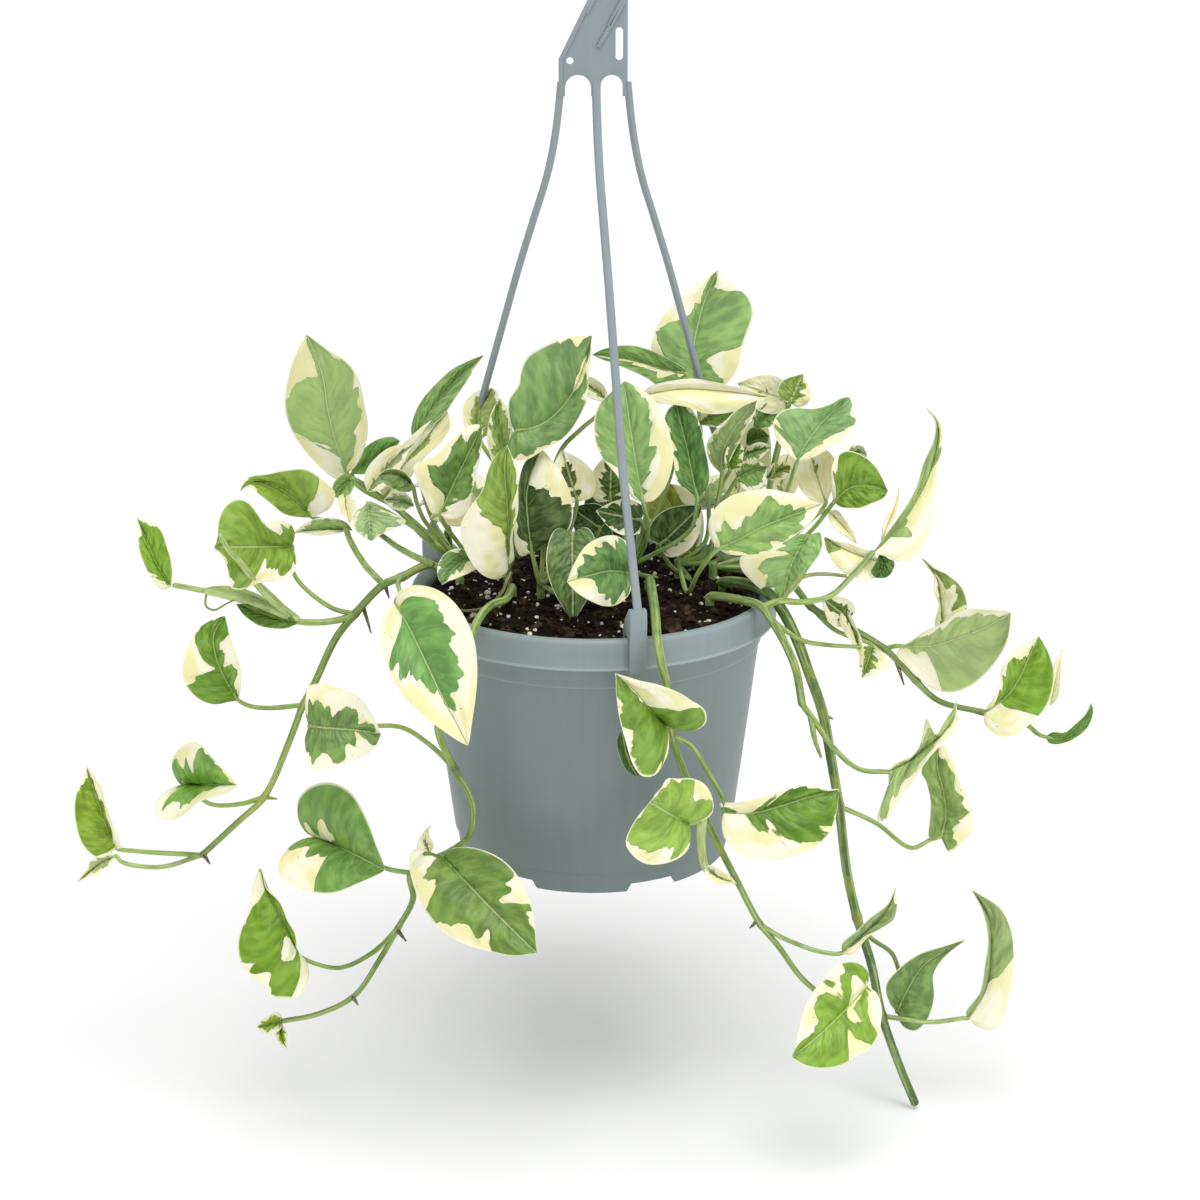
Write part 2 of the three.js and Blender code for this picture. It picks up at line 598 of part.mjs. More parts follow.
const STEMS = [
  {
    name: "stem_left_trailing",
    root: [-62, -2],
    girth: 2.1,
    taper: 1.4,
    vine: [[430, 565, 0], [402, 577, -5], [383, 585, -8], [355, 614, -12], [336, 638, -15],
      [315, 682, -18], [303, 705, -20], [289, 742, -22], [264, 797, -25], [239, 821, -28],
      [202, 855, -30]],
    shoots: [
      { line: [[355, 614, -12], [338, 620, -14], [296, 621, -18], [250, 598, -22], [200, 590, -25],
        [174, 585, -27]], from: 1.7, to: 1.3 },
      { line: [[383, 584, -8], [365, 565, -4], [350, 540, 0], [345, 525, 3]], from: 1.6, to: 1.3 },
    ],
    blades: [
      blade([313, 518, 5], [239, 493, -30], 40, { turn: 38, fold: [30, 30],
        stalk: [[345, 525, 3], [330, 521, 4]] }),
      blade([345, 527, 8], [293, 533, 0], 26, { turn: 72 }),
      blade([288, 546, -12], [213, 548, -50], 40, { fold: [10, 20], lobe: 0.2,
        stalk: [[355, 614, -12], [332, 608, -14], [300, 583, -15], [292, 568, -14]] }),
      blade([296, 621, -18], [219, 548, -28], 7, { fold: [60, 60], lobe: 0.05 }),
      blade([172, 585, -27], [136, 518, -34], 20, { fold: [35, 35] }),
      blade([296, 622, -18], [236, 604, -24], 12, { fold: [50, 50], lobe: 0.05 }),
      blade([237, 700, -30], [225, 616, -42], 34, { turn: -28, sweep: -0.14, fold: [12, 40],
        stalk: [[303, 705, -20], [268, 708, -24], [250, 706, -28]] }),
      blade([190, 785, -15], [237, 785, -55], 36, { lobe: 0.32, fold: [20, 20],
        stalk: [[264, 797, -25], [240, 804, -22], [208, 803, -15]] }),
      blade([118, 845, -30], [87, 767, -38], 28, { turn: -30, fold: [25, 25],
        stalk: [[200, 855, -30], [135, 851, -29]] }),
      blade([112, 860, -30], [77, 882, -34], 6, { fold: [55, 55], lobe: 0.05,
        stalk: [[202, 855, -30], [160, 867, -29], [122, 862, -30]] }),
      blade([406, 606, -61], [468, 746, -75], 40, { fold: [6, 6], arch: 0.03,
        stalk: [[402, 577, -5], [398, 584, -28], [400, 594, -50]] }),
    ],
  },
  {
    name: "stem_front_left_trailing",
    root: [-37, -17],
    girth: 2,
    taper: 1.2,
    vine: [[505, 600, -46], [490, 606, -60], [476, 624, -77], [462, 665, -87], [445, 705, -87],
      [438, 728, -84], [454, 768, -76], [469, 795, -70], [473, 814, -70], [469, 835, -70],
      [458, 847, -70], [411, 873, -66], [413, 899, -64], [398, 928, -62], [380, 959, -60],
      [354, 996, -58], [318, 1014, -55], [283, 1021, -52]],
    blades: [
      blade([379, 731, -62], [303, 712, -96], 38, { fold: [14, 14], lobe: 0.06,
        stalk: [[454, 768, -76], [430, 745, -68], [400, 727, -62]] }),
      blade([325, 838, -50], [385, 870, -96], 50, { lobe: 0.3, fold: [12, 12],
        stalk: [[411, 873, -66], [385, 868, -56], [350, 850, -44]] }),
      blade([443, 858, -76], [537, 953, -90], 42, { turn: 10, fold: [12, 20],
        stalk: [[458, 847, -70], [450, 850, -73]] }),
      blade([307, 968, -60], [260, 868, -68], 38, { turn: -38, fold: [28, 46],
        stalk: [[398, 928, -62], [372, 953, -61], [337, 968, -60]] }),
      blade([284, 1020, -52], [287, 1049, -60], 11, { lobe: 0.3 }),
    ],
  },
  {
    name: "stem_front_trailing",
    root: [26, -8],
    girth: 2.4,
    taper: 1.2,
    vine: [[652, 592, -55], [655, 612, -70], [657, 636, -86], [661, 662, -93], [666, 683, -92],
      [671, 733, -88], [683, 769, -86], [706, 819, -86], [719, 846, -86], [737, 881, -84],
      [760, 924, -82], [779, 947, -80], [799, 975, -80], [818, 993, -80]],
    shoots: [
      { line: [[706, 819, -86], [702, 840, -88], [706, 870, -89], [722, 881, -90]],
        from: 1.4, to: 1 },
    ],
    blades: [
      blade([660, 722, -94], [615, 673, -118], 42, { fold: [10, 40], curl: [0, 60], turn: 8,
        lobe: 0.25, stalk: [[671, 733, -88], [666, 728, -90]] }),
      blade([690, 822, -90], [650, 802, -112], 40, { lobe: 0.3, turn: -12,
        stalk: [[706, 819, -86], [698, 822, -88]] }),
      blade([722, 881, -90], [748, 886, -94], 10, { lobe: 0.1 }),
      blade([727, 811, -88], [840, 789, -92], 42, { turn: 34, fold: [34, 34],
        stalk: [[672, 736, -88], [690, 745, -88], [708, 772, -88], [724, 802, -88]] }),
      blade([845, 955, -80], [896, 888, -86], 24, { turn: 62,
        stalk: [[760, 924, -82], [783, 938, -81], [822, 952, -80]] }),
      blade([863, 987, -78], [792, 1057, -94], 36, { turn: -12, fold: [10, 30],
        stalk: [[818, 993, -80], [838, 985, -80]] }),
    ],
  },
  {
    name: "stem_right_cut",
    root: [59, -8],
    girth: 3,
    taper: 2,
    vine: [[742, 583, -18], [768, 593, -32], [782, 610, -38], [797, 640, -40], [809, 673, -40],
      [822, 710, -40], [832, 764, -40], [839, 806, -40], [847, 872, -40], [857, 917, -40],
      [871, 963, -40], [882, 1016, -40], [900, 1067, -40], [915, 1103, -40]],
    blades: [
      blade([943, 833, -22], [939, 740, -26], 25, { turn: 15, fold: [20, 20], sweep: 0.08,
        stalk: [[839, 806, -40], [876, 823, -34], [912, 848, -26], [930, 840, -22]] }),
      blade([903, 975, -34], [965, 940, -44], 44, { turn: 76, fold: [30, 30],
        stalk: [[857, 917, -40], [870, 937, -38], [893, 955, -34]] }),
      blade([975, 1018, -36], [972, 890, -42], 26, { turn: -50, sweep: 0.2,
        stalk: [[882, 1016, -40], [930, 1022, -38], [965, 1018, -36]] }),
    ],
  },
  {
    name: "stem_right_trailing",
    root: [53, -27],
    girth: 2.2,
    taper: 1.8,
    vine: [[740, 600, -38], [762, 607, -47], [774, 624, -52], [786, 645, -53], [796, 670, -53],
      [802, 704, -53]],
    shoots: [
      { line: [[802, 704, -53], [816, 723, -52], [832, 746, -52], [859, 769, -50], [889, 772, -48]],
        from: 1.5, to: 1.1 },
      { line: [[811, 717, -52], [815, 740, -52], [821, 757, -52]], from: 1.6, to: 0.7 },
      { line: [[762, 607, -47], [780, 601, -47], [800, 602, -44], [830, 596, -38], [850, 578, -32],
        [873, 552, -26]], from: 1.6, to: 1.2 },
    ],
    blades: [
      blade([889, 772, -48], [957, 699, -58], 40, { turn: 62, fold: [24, 24], lobe: 0.3 }),
      blade([873, 552, -26], [926, 407, -20], 25, { turn: 30, sweep: 0.117, fold: [40, 20] }),
      blade([876, 548, -24], [899, 488, -24], 12, { turn: 65 }),
      blade([868, 560, -27], [824, 538, -22], 18, {}),
    ],
  },
  {
    name: "stem_right_far",
    root: [60, 24],
    girth: 2,
    taper: 1.3,
    vine: [[748, 563, 20], [768, 565, 14], [786, 577, 8], [800, 593, 4], [811, 607, 0],
      [849, 627, -5], [885, 649, -8], [916, 681, -10], [939, 701, -12], [981, 712, -14],
      [1028, 725, -15]],
    blades: [
      blade([908, 645, -13], [1011, 614, -24], 40, { turn: 155, fold: [22, 22],
        stalk: [[885, 649, -8], [896, 646, -11]] }),
      blade([858, 645, -10], [896, 664, -18], 16, { stalk: [[811, 607, 0], [835, 630, -6]] }),
      blade([848, 618, -8], [822, 598, -12], 14, { stalk: [[849, 627, -5]] }),
      blade([956, 626, 0], [925, 560, -4], 17, { stalk: [[916, 681, -10], [945, 660, -2]] }),
      blade([988, 711, -16], [1039, 636, -24], 36, { turn: 38, fold: [33, 33],
        stalk: [[981, 712, -14]] }),
      blade([1048, 736, -16], [1091, 703, -20], 7, { fold: [50, 50], lobe: 0.05, sweep: -0.15,
        stalk: [[1028, 725, -15], [1038, 734, -15]] }),
    ],
  },
  {
    name: "stem_left_upright",
    root: [-58, 17],
    girth: 2.2,
    blades: [
      blade([347, 474, 16], [307, 334, 12], 37, { turn: 180, sweep: 0.04,
        stalk: [[440, 550, 16], [425, 532, 16], [400, 510, 16], [360, 488, 16]] }),
      blade([405, 520, 5], [368, 508, -6], 18, { stalk: [[440, 550, 14], [425, 535, 8]] }),
      blade([411, 481, 2], [378, 478, -6], 12, { fold: [45, 45],
        stalk: [[443, 550, 14], [424, 512, 6]] }),
      blade([350, 475, 22], [401, 443, 16], 26, { turn: 20,
        stalk: [[436, 540, 22], [400, 510, 24], [365, 490, 24]] }),
      blade([395, 500, 20], [435, 428, 22], 24, { stalk: [[437, 545, 20], [410, 520, 20]] }),
      blade([440, 545, -6], [442, 585, -20], 14, { stalk: [[452, 552, 6]] }),
      blade([413, 441, 30], [485, 355, 34], 22, { turn: -30, sweep: -0.08,
        stalk: [[438, 530, 24], [420, 480, 28]] }),
    ],
  },
  {
    name: "stem_left_centre",
    root: [-40, 2],
    girth: 2.2,
    blades: [
      blade([516, 432, -2], [592, 335, 6], 32, { fold: [20, 20],
        stalk: [[510, 560, 2], [512, 500, 0]] }),
      blade([520, 451, -9], [590, 386, -7], 22, { turn: 20,
        stalk: [[512, 560, 0], [515, 500, -6]] }),
      blade([508, 577, -30], [508, 445, -44], 34, { turn: -38, fold: [28, 28],
        stalk: [[507, 586, -24]] }),
      blade([441, 510, -14], [482, 425, -20], 26, { turn: -20, fold: [20, 20],
        stalk: [[490, 575, 0], [456, 540, -10]] }),
      blade([476, 556, -24], [442, 585, -34], 17, { stalk: [[500, 570, -10]] }),
      blade([490, 468, 4], [503, 400, 2], 12, { stalk: [[508, 560, 4], [494, 500, 4]] }),
      blade([475, 505, 4], [430, 518, -4], 16, { stalk: [[500, 560, 4], [485, 525, 4]] }),
    ],
  },
  {
    name: "stem_centre_left",
    root: [-24, -16],
    girth: 2,
    blades: [
      blade([532, 552, -18], [541, 447, -14], 36, { turn: 30, fold: [30, 20],
        stalk: [[540, 585, -18]] }),
      blade([572, 533, -28], [573, 622, -48], 24, { arch: 0.05,
        stalk: [[548, 580, -20], [560, 545, -24]] }),
      blade([627, 572, -46], [566, 582, -68], 32, { fold: [8, 8],
        stalk: [[570, 600, -30], [602, 592, -44]] }),
      blade([577, 500, -8], [562, 450, -2], 22, { stalk: [[548, 570, -14], [570, 530, -10]] }),
      blade([600, 528, -6], [572, 508, -4], 18, { stalk: [[552, 575, -14], [585, 550, -8]] }),
    ],
  },
  {
    name: "stem_centre",
    root: [12, 4],
    girth: 2.2,
    blades: [
      blade([642, 501, -24], [624, 378, -26], 36, { fold: [14, 14],
        stalk: [[636, 560, 0], [648, 530, -16]] }),
      blade([697, 497, -4], [672, 398, 0], 21, { stalk: [[642, 560, 2], [690, 530, -2]] }),
      blade([662, 400, 12], [768, 395, 8], 20, {
        stalk: [[640, 540, 10], [650, 450, 14]] }),
      blade([684, 381, 30], [592, 355, 28], 30, { turn: -40, fold: [30, 30],
        stalk: [[645, 540, 14], [680, 440, 28]] }),
      blade([640, 520, -14], [596, 511, -20], 17, { stalk: [[636, 560, 0], [645, 535, -10]] }),
      blade([610, 500, 4], [612, 450, 8], 20, { stalk: [[632, 560, 4], [618, 525, 4]] }),
    ],
  },
  {
    name: "stem_centre_right",
    root: [40, 14],
    girth: 2.2,
    blades: [
      blade([718, 549, -44], [822, 504, -46], 38, { turn: -30, fold: [22, 22],
        stalk: [[688, 592, -20], [700, 570, -36]] }),
      blade([722, 474, 0], [757, 400, 2], 22, { turn: 165, stalk: [[706, 560, 8], [716, 510, 4]] }),
      blade([735, 480, 8], [768, 468, 6], 14, { stalk: [[706, 555, 10], [720, 510, 9]] }),
      blade([696, 382, 42], [718, 270, 48], 43, { fold: [14, 14],
        stalk: [[706, 540, 20], [702, 450, 36]] }),
      blade([725, 455, 16], [735, 432, 16], 12, { stalk: [[708, 550, 14], [720, 490, 15]] }),
      blade([660, 545, 4], [702, 505, 6], 22, { stalk: [[690, 580, 8], [670, 565, 6]] }),
    ],
  },
  {
    name: "stem_right_upright",
    root: [56, 6],
    girth: 2.2,
    blades: [
      blade([835, 503, -10], [845, 446, -14], 41, { turn: 45, fold: [35, 40],
        stalk: [[760, 570, 2], [811, 531, -6]] }),
      blade([796, 462, -4], [848, 397, 2], 34, { turn: -12, fold: [15, 15],
        stalk: [[752, 560, 4], [780, 510, 0]] }),
      blade([826, 503, 2], [822, 440, 4], 30, { turn: -20,
        stalk: [[756, 565, 5], [800, 530, 2]] }),
      blade([828, 508, -4], [857, 545, -14], 12, { stalk: [[780, 545, 2], [815, 515, -2]] }),
      blade([788, 538, -12], [783, 603, -24], 44, { fold: [14, 14],
        stalk: [[756, 565, 0], [772, 545, -8]] }),
      blade([790, 402, 12], [803, 374, 14], 16, { stalk: [[750, 555, 8], [776, 460, 12]] }),
      blade([785, 400, 20], [738, 383, 22], 18, { stalk: [[748, 555, 10], [774, 460, 16]] }),
    ],
  },
  {
    name: "stem_back_left",
    root: [-36, 44],
    girth: 2,
    inPlan: true,
    blades: [
      blade([-50, 66, 146], [-88, 96, 138], 36, { arch: 0.08, stalk: [[-42, 54, 144]] }),
      blade([-30, 72, 150], [-44, 118, 140], 36, { arch: 0.08, stalk: [[-34, 58, 146]] }),
      blade([-56, 56, 154], [-92, 78, 152], 32, { arch: 0.08, stalk: [[-46, 50, 147]] }),
      blade([-20, 50, 152], [10, 76, 150], 32, { arch: 0.08, stalk: [[-30, 48, 147]] }),
    ],
  },
  {
    name: "stem_back_right",
    root: [32, 46],
    girth: 2,
    inPlan: true,
    blades: [
      blade([48, 66, 146], [82, 98, 138], 36, { arch: 0.08, stalk: [[38, 54, 144]] }),
      blade([30, 74, 148], [40, 120, 138], 36, { arch: 0.08, stalk: [[30, 60, 145]] }),
      blade([54, 58, 154], [90, 80, 151], 32, { arch: 0.08, stalk: [[42, 50, 148]] }),
    ],
  },
  {
    name: "stem_back_trailing",
    root: [-4, 54],
    girth: 2.1,
    taper: 1.3,
    inPlan: true,
    vine: [[-5, 66, 132], [-6, 79, 135], [-7, 90, 130], [-8, 96, 112], [-4, 100, 88], [4, 101, 60],
      [6, 102, 34]],
    blades: [
      blade([-28, 102, 100], [-60, 112, 74], 36, { arch: 0.08, stalk: [[-8, 97, 108], [-18, 101, 107]] }),
      blade([22, 108, 76], [52, 118, 48], 36, { arch: 0.08, stalk: [[-2, 100, 82], [12, 106, 83]] }),
      blade([-12, 108, 42], [-36, 118, 14], 34, { arch: 0.08, stalk: [[5, 102, 52], [-4, 106, 50]] }),
      blade([6, 104, 30], [14, 116, 2], 30, { arch: 0.08, stalk: [[6, 102, 34]] }),
    ],
  },
];

const plant = new THREE.Group();
plant.add(meshFrom(makePot(), "pot", COLOURS.plastic, 0.55));
plant.add(meshFrom(makeSoil(STEMS), "soil", COLOURS.soil, 0.95));
plant.add(meshFrom(makeHanger(), "hanger", COLOURS.plastic, 0.55));
STEMS.forEach((stem) => plant.add(meshFrom(makeStem(stem), stem.name, COLOURS.leaf, 0.5)));
plant.children.forEach((mesh) => mesh.geometry.translate(0, 0, -HANG_HEIGHT));

export default plant;
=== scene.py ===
import math

import bpy
import numpy as np
from bpy.props import FloatProperty, FloatVectorProperty, IntProperty, PointerProperty
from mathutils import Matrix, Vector, noise


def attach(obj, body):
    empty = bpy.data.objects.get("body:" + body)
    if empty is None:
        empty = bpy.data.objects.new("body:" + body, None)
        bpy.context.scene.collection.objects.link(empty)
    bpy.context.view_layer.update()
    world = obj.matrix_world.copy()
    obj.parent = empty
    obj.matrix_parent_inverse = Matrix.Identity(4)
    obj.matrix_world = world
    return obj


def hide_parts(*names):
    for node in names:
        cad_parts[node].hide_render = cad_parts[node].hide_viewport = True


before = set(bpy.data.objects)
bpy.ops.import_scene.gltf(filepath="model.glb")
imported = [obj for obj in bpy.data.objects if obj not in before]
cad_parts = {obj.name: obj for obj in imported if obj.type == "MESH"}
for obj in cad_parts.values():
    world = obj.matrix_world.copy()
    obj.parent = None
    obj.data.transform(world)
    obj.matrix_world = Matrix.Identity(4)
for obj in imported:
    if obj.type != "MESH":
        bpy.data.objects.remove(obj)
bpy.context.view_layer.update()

bl_info = {
    "name": "Potted Pothos",
    "version": (1, 0, 0),
    "blender": (4, 5, 0),
    "location": "View3D > Sidebar > Pothos",
    "description": "A variegated pothos in a hanging plastic pot",
    "category": "Object",
}

# Sizes in the lists and in the helpers are millimetres, and heights there count from the soles
# of the pot's feet. HANG_HEIGHT is where the hook bears, which is the origin of the finished
# pieces, and finished meshes are in metres.
MM = 0.001
HANG_HEIGHT = 440.82317551206233
PIECE_BODY = "root"


def linear(code):
    """The linear colour of a six-digit one."""
    parts = [((code >> shift) & 255) / 255 for shift in (16, 8, 0)]
    return tuple(c / 12.92 if c <= 0.04045 else ((c + 0.055) / 1.055) ** 2.4 for c in parts)


def blend(a, b, part):
    return tuple(x + (y - x) * part for x, y in zip(a, b))


def length_property(name, description, default):
    return FloatProperty(name=name, description=description, default=default, min=0.0,
                         unit="LENGTH", subtype="DISTANCE", precision=5)


def colour_property(name, description, code):
    return FloatVectorProperty(name=name, description=description, default=linear(code),
                               min=0.0, max=1.0, size=3, subtype="COLOR")


class PotLooks(bpy.types.PropertyGroup):
    """Sizes and colour of the pot."""

    rim_radius: length_property("Rim Radius", "Outer radius of the rolled rim", 0.0852)
    foot_radius: length_property("Foot Radius", "Outer radius at the soles", 0.064)
    wall: length_property("Wall", "Thickness of the side", 0.0017)
    sides: IntProperty(name="Sides", description="Corners round the pot", default=144, min=24)
    colour: colour_property("Colour", "Moulded plastic of the pot", 0x737F80)


class HangerLooks(bpy.types.PropertyGroup):
    """Sizes and colour of the hanger."""

    leg_width: length_property("Leg Width", "Width of a leg", 0.0037)
    leg_thickness: length_property("Leg Thickness", "Thickness of a leg", 0.0028)
    clip_width: length_property("Clip Width", "Width of the clip on the rim", 0.0076)
    colour: colour_property("Colour", "Moulded plastic of the hanger", 0x8E9A9E)


class SoilLooks(bpy.types.PropertyGroup):
    """Potting mix and its grains."""

    grains: IntProperty(name="Grains", description="White grains on the top", default=250, min=0)
    crumbs: IntProperty(name="Crumbs", description="Dark crumbs on the top", default=1700, min=0)
    grain_size: length_property("Grain Size", "Mean radius of a white grain", 0.00075)
    mix: colour_property("Mix", "Damp peat", 0x1D130C)
    grain: colour_property("Grain", "Expanded white grains", 0xE9E4D8)


class LeafLooks(bpy.types.PropertyGroup):
    """Leaf blades and stalks."""

    thickness: length_property("Thickness", "Thickness of a blade", 0.0005)
    veins: IntProperty(name="Side Veins", description="Side veins on a half blade", default=11, min=0)
    cream: colour_property("Cream", "Pale parts of a blade", 0xF7F4DA)
    straw: colour_property("Straw", "Yellower pale parts", 0xEDE8AE)


class StageLooks(bpy.types.PropertyGroup):
    """Floor and lamps."""

    floor_drop: length_property("Floor Drop", "Floor below the pot's soles", 0.124)
    sky: FloatProperty(name="Sky", description="Even light from all round", default=0.66, min=0.0)
    key: FloatProperty(name="Key", description="Strength of the broad lamp above", default=1.45,
                       min=0.0)
    side: FloatProperty(name="Side", description="Power of the lamp beside", default=8.0,
                        min=0.0, unit="POWER")


class PlantLooks(bpy.types.PropertyGroup):
    """All that a user may change."""

    pot: PointerProperty(type=PotLooks)
    hanger: PointerProperty(type=HangerLooks)
    soil: PointerProperty(type=SoilLooks)
    leaf: PointerProperty(type=LeafLooks)
    stage: PointerProperty(type=StageLooks)


def looks():
    return bpy.context.scene.potted_pothos


# Objects
def deselect():
    bpy.ops.object.select_all(action="DESELECT")


def pick(thing, *others):
    deselect()
    for one in (thing, *others):
        one.select_set(True)
    bpy.context.view_layer.objects.active = thing
    return thing


def corners(thing):
    flat = np.empty(len(thing.data.vertices) * 3, np.float32)
    thing.data.vertices.foreach_get("co", flat)
    return flat.reshape(-1, 3).astype(float)


def set_corners(thing, points):
    thing.data.vertices.foreach_set("co", np.asarray(points, np.float32).ravel())
    thing.data.update()
    return thing


def to_row(points):
    return (np.asarray(points, float) - (0, 0, HANG_HEIGHT)) * MM


def edit(thing, *steps):
    """Runs edit-mode steps on the whole mesh of one object."""
    pick(thing)
    bpy.ops.object.mode_set(mode="EDIT")
    bpy.ops.mesh.select_all(action="SELECT")
    for step in steps:
        step()
    bpy.ops.object.mode_set(mode="OBJECT")
    return thing


def merge_doubles():
    bpy.ops.mesh.remove_doubles(threshold=2e-6)


def face_out():
    bpy.ops.mesh.normals_make_consistent(inside=False)


def modify(thing, kind, **settings):
    pick(thing)
    bpy.ops.object.modifier_add(type=kind)
    made = thing.modifiers[-1]
    for key, value in settings.items():
        setattr(made, key, value)
    bpy.ops.object.modifier_apply(modifier=made.name)
    return thing


def cut_with(thing, tool, operation="DIFFERENCE"):
    modify(thing, "BOOLEAN", operation=operation, solver="EXACT", object=tool)
    bpy.data.objects.remove(tool)
    return thing


def join(parts):
    pick(*parts)
    bpy.ops.object.join()
    return parts[0]


def smooth(thing, degrees):
    pick(thing)
    bpy.ops.object.shade_smooth_by_angle(angle=math.radians(degrees))


def settle(thing, name, slot, *nodes):
    """Names a finished piece, hangs it on the object's body and hides the parts of the nodes it
    stands for.
    """
    thing.name = name
    thing.data.name = name
    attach(thing, PIECE_BODY)
    if nodes:
        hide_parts(*nodes)
    return thing


def sheet(rows, columns):
    """A flat grid, with the place of each corner along it and across it from 0 to 1."""
    deselect()
    bpy.ops.mesh.primitive_grid_add(x_subdivisions=rows, y_subdivisions=columns, size=1)
    thing = bpy.context.object
    flat = corners(thing)
    return thing, flat[:, 0] + 0.5, flat[:, 1] + 0.5


# Finishes
class Finish:
    """A material while it is made. Each call adds one node and gives back its output."""

    def __init__(self, name, **constants):
        self.material = bpy.data.materials.new(name)
        self.material.use_nodes = True
        self.tree = self.material.node_tree
        self.shader = self.tree.nodes["Principled BSDF"]
        self.fill(self.shader, {key.replace("_", " "): v for key, v in constants.items()})

    def fill(self, node, values):
        for key, value in values.items():
            if isinstance(value, bpy.types.NodeSocket):
                self.tree.links.new(value, node.inputs[key])
            elif value is not None:
                node.inputs[key].default_value = value

    def node(self, kind, values=None, **settings):
        made = self.tree.nodes.new("ShaderNode" + kind)
        for key, value in settings.items():
            setattr(made, key, value)
        self.fill(made, values or {})
        return made

    def sum(self, operation, *values):
        return self.node("Math", dict(enumerate(values)), operation=operation).outputs[0]

    def step(self, value, low, high, start=0.0, end=1.0):
        values = {0: value, 1: low, 2: high, 3: start, 4: end}
        return self.node("MapRange", values, interpolation_type="SMOOTHSTEP").outputs[0]

    def mix(self, part, a, b):
        a, b = (v if isinstance(v, bpy.types.NodeSocket) else (*v, 1.0) for v in (a, b))
        return self.node("Mix", {0: part, 6: a, 7: b}, data_type="RGBA").outputs[2]

    def shade(self, colour, strength):
        values = {0: colour, "Scale": strength}
        return self.node("VectorMath", values, operation="SCALE").outputs[0]

    def place(self, x, y, z):
        return self.node("CombineXYZ", {0: x, 1: y, 2: z}).outputs[0]

    def parts(self, vector):
        return self.node("SeparateXYZ", {0: vector}).outputs

    def here(self):
        return self.node("TexCoord").outputs["Object"]

    def grain(self, vector, scale, detail=3.0, rough=0.55):
        values = {"Vector": vector, "Scale": scale, "Detail": detail, "Roughness": rough}
        return self.node("TexNoise", values).outputs[0]

    def value(self, name):
        return self.node("Attribute", attribute_name=name).outputs

    def relief(self, height, distance, strength=1.0):
        values = {"Height": height, "Distance": distance, "Strength": strength}
        return self.node("Bump", values).outputs[0]

    def done(self, **links):
        self.fill(self.shader, {key.replace("_", " "): v for key, v in links.items()})
        return self.material


def plastic(name, colour, streak, painted_light_bands=()):
    """Matt moulded plastic: faint cloudiness, up-and-down flow marks and a fine tooth. Each band
    is two heights and how much the plastic brightens from the one to the other; the bands are
    painted light, that is painted highlights and painted shade lines, not the plastic's own colour."""
    finish = Finish(name, IOR=1.46)
    here = finish.here()
    x, y, z = finish.parts(here)
    cloud = finish.grain(here, 14.0)
    flow = finish.grain(finish.place(finish.sum("MULTIPLY", x, 220.0),
                                     finish.sum("MULTIPLY", y, 220.0),
                                     finish.sum("MULTIPLY", z, 9.0)), 1.0)
    tooth = finish.grain(here, 1500.0, 2.0)
    tone = finish.sum("ADD", finish.sum("MULTIPLY", cloud, 0.6),
                      finish.sum("MULTIPLY", flow, streak))
    dark = tuple(c * 0.9 for c in colour)
    light = tuple(min(1.0, c * 1.1) for c in colour)
    shade = finish.mix(finish.step(tone, 0.25, 0.6 + streak), dark, light)
    # Painted light: each band brightens or darkens the plastic between two heights, as painted
    # highlights and painted shade lines.
    for low, high, more in painted_light_bands:
        shade = finish.shade(shade, finish.step(z, (low - HANG_HEIGHT) * MM,
                                                (high - HANG_HEIGHT) * MM, 1.0, more))
    rough = finish.step(finish.sum("ADD", cloud, tooth), 0.7, 1.3, 0.4, 0.52)
    normal = finish.relief(finish.sum("ADD", tooth, finish.sum("MULTIPLY", flow, 0.5)),
                           0.00006, 0.5)
    return finish.done(Base_Color=shade, Roughness=rough, Normal=normal)


def peat(name, colour):
    """Damp peat: near black between the crumbs, brown on them. The near black is partly the
    peat's own dark and partly painted shade in the hollows of the bump.
    """
    finish = Finish(name, IOR=1.22)
    here = finish.here()
    fine = finish.grain(here, 620.0, 4.0, 0.65)
    coarse = finish.grain(here, 130.0)
    brown = blend(colour, linear(0x6B5A42), 0.5)
    # Painted shade in part: the near black follows the low places of the same noise that makes the
    # bump.
    dark = tuple(c * 0.16 for c in colour)
    shade = finish.mix(finish.step(fine, 0.4, 0.62), dark, colour)
    shade = finish.mix(finish.step(coarse, 0.5, 0.68, 0.0, 0.8), shade, brown)
    rough = finish.step(fine, 0.3, 0.7, 0.6, 0.95)
    return finish.done(Base_Color=shade, Roughness=rough,
                       Normal=finish.relief(fine, 0.0009, 0.9))


def white_grain(name, colour):
    """Expanded mineral grains, chalky and pitted, some stained by the peat."""
    finish = Finish(name, IOR=1.45)
    here = finish.here()
    pits = finish.grain(here, 1500.0, 3.0)
    stain = finish.grain(here, 160.0)
    brown = linear(0x8A7458)
    shade = finish.mix(finish.step(stain, 0.5, 0.68, 0.0, 0.7), colour, brown)
    shade = finish.mix(finish.step(pits, 0.5, 0.3, 0.0, 0.4), shade, linear(0x9A9080))
    return finish.done(Base_Color=shade, Roughness=finish.step(pits, 0.3, 0.7, 0.75, 0.95),
                       Normal=finish.relief(pits, 0.0002, 0.8))


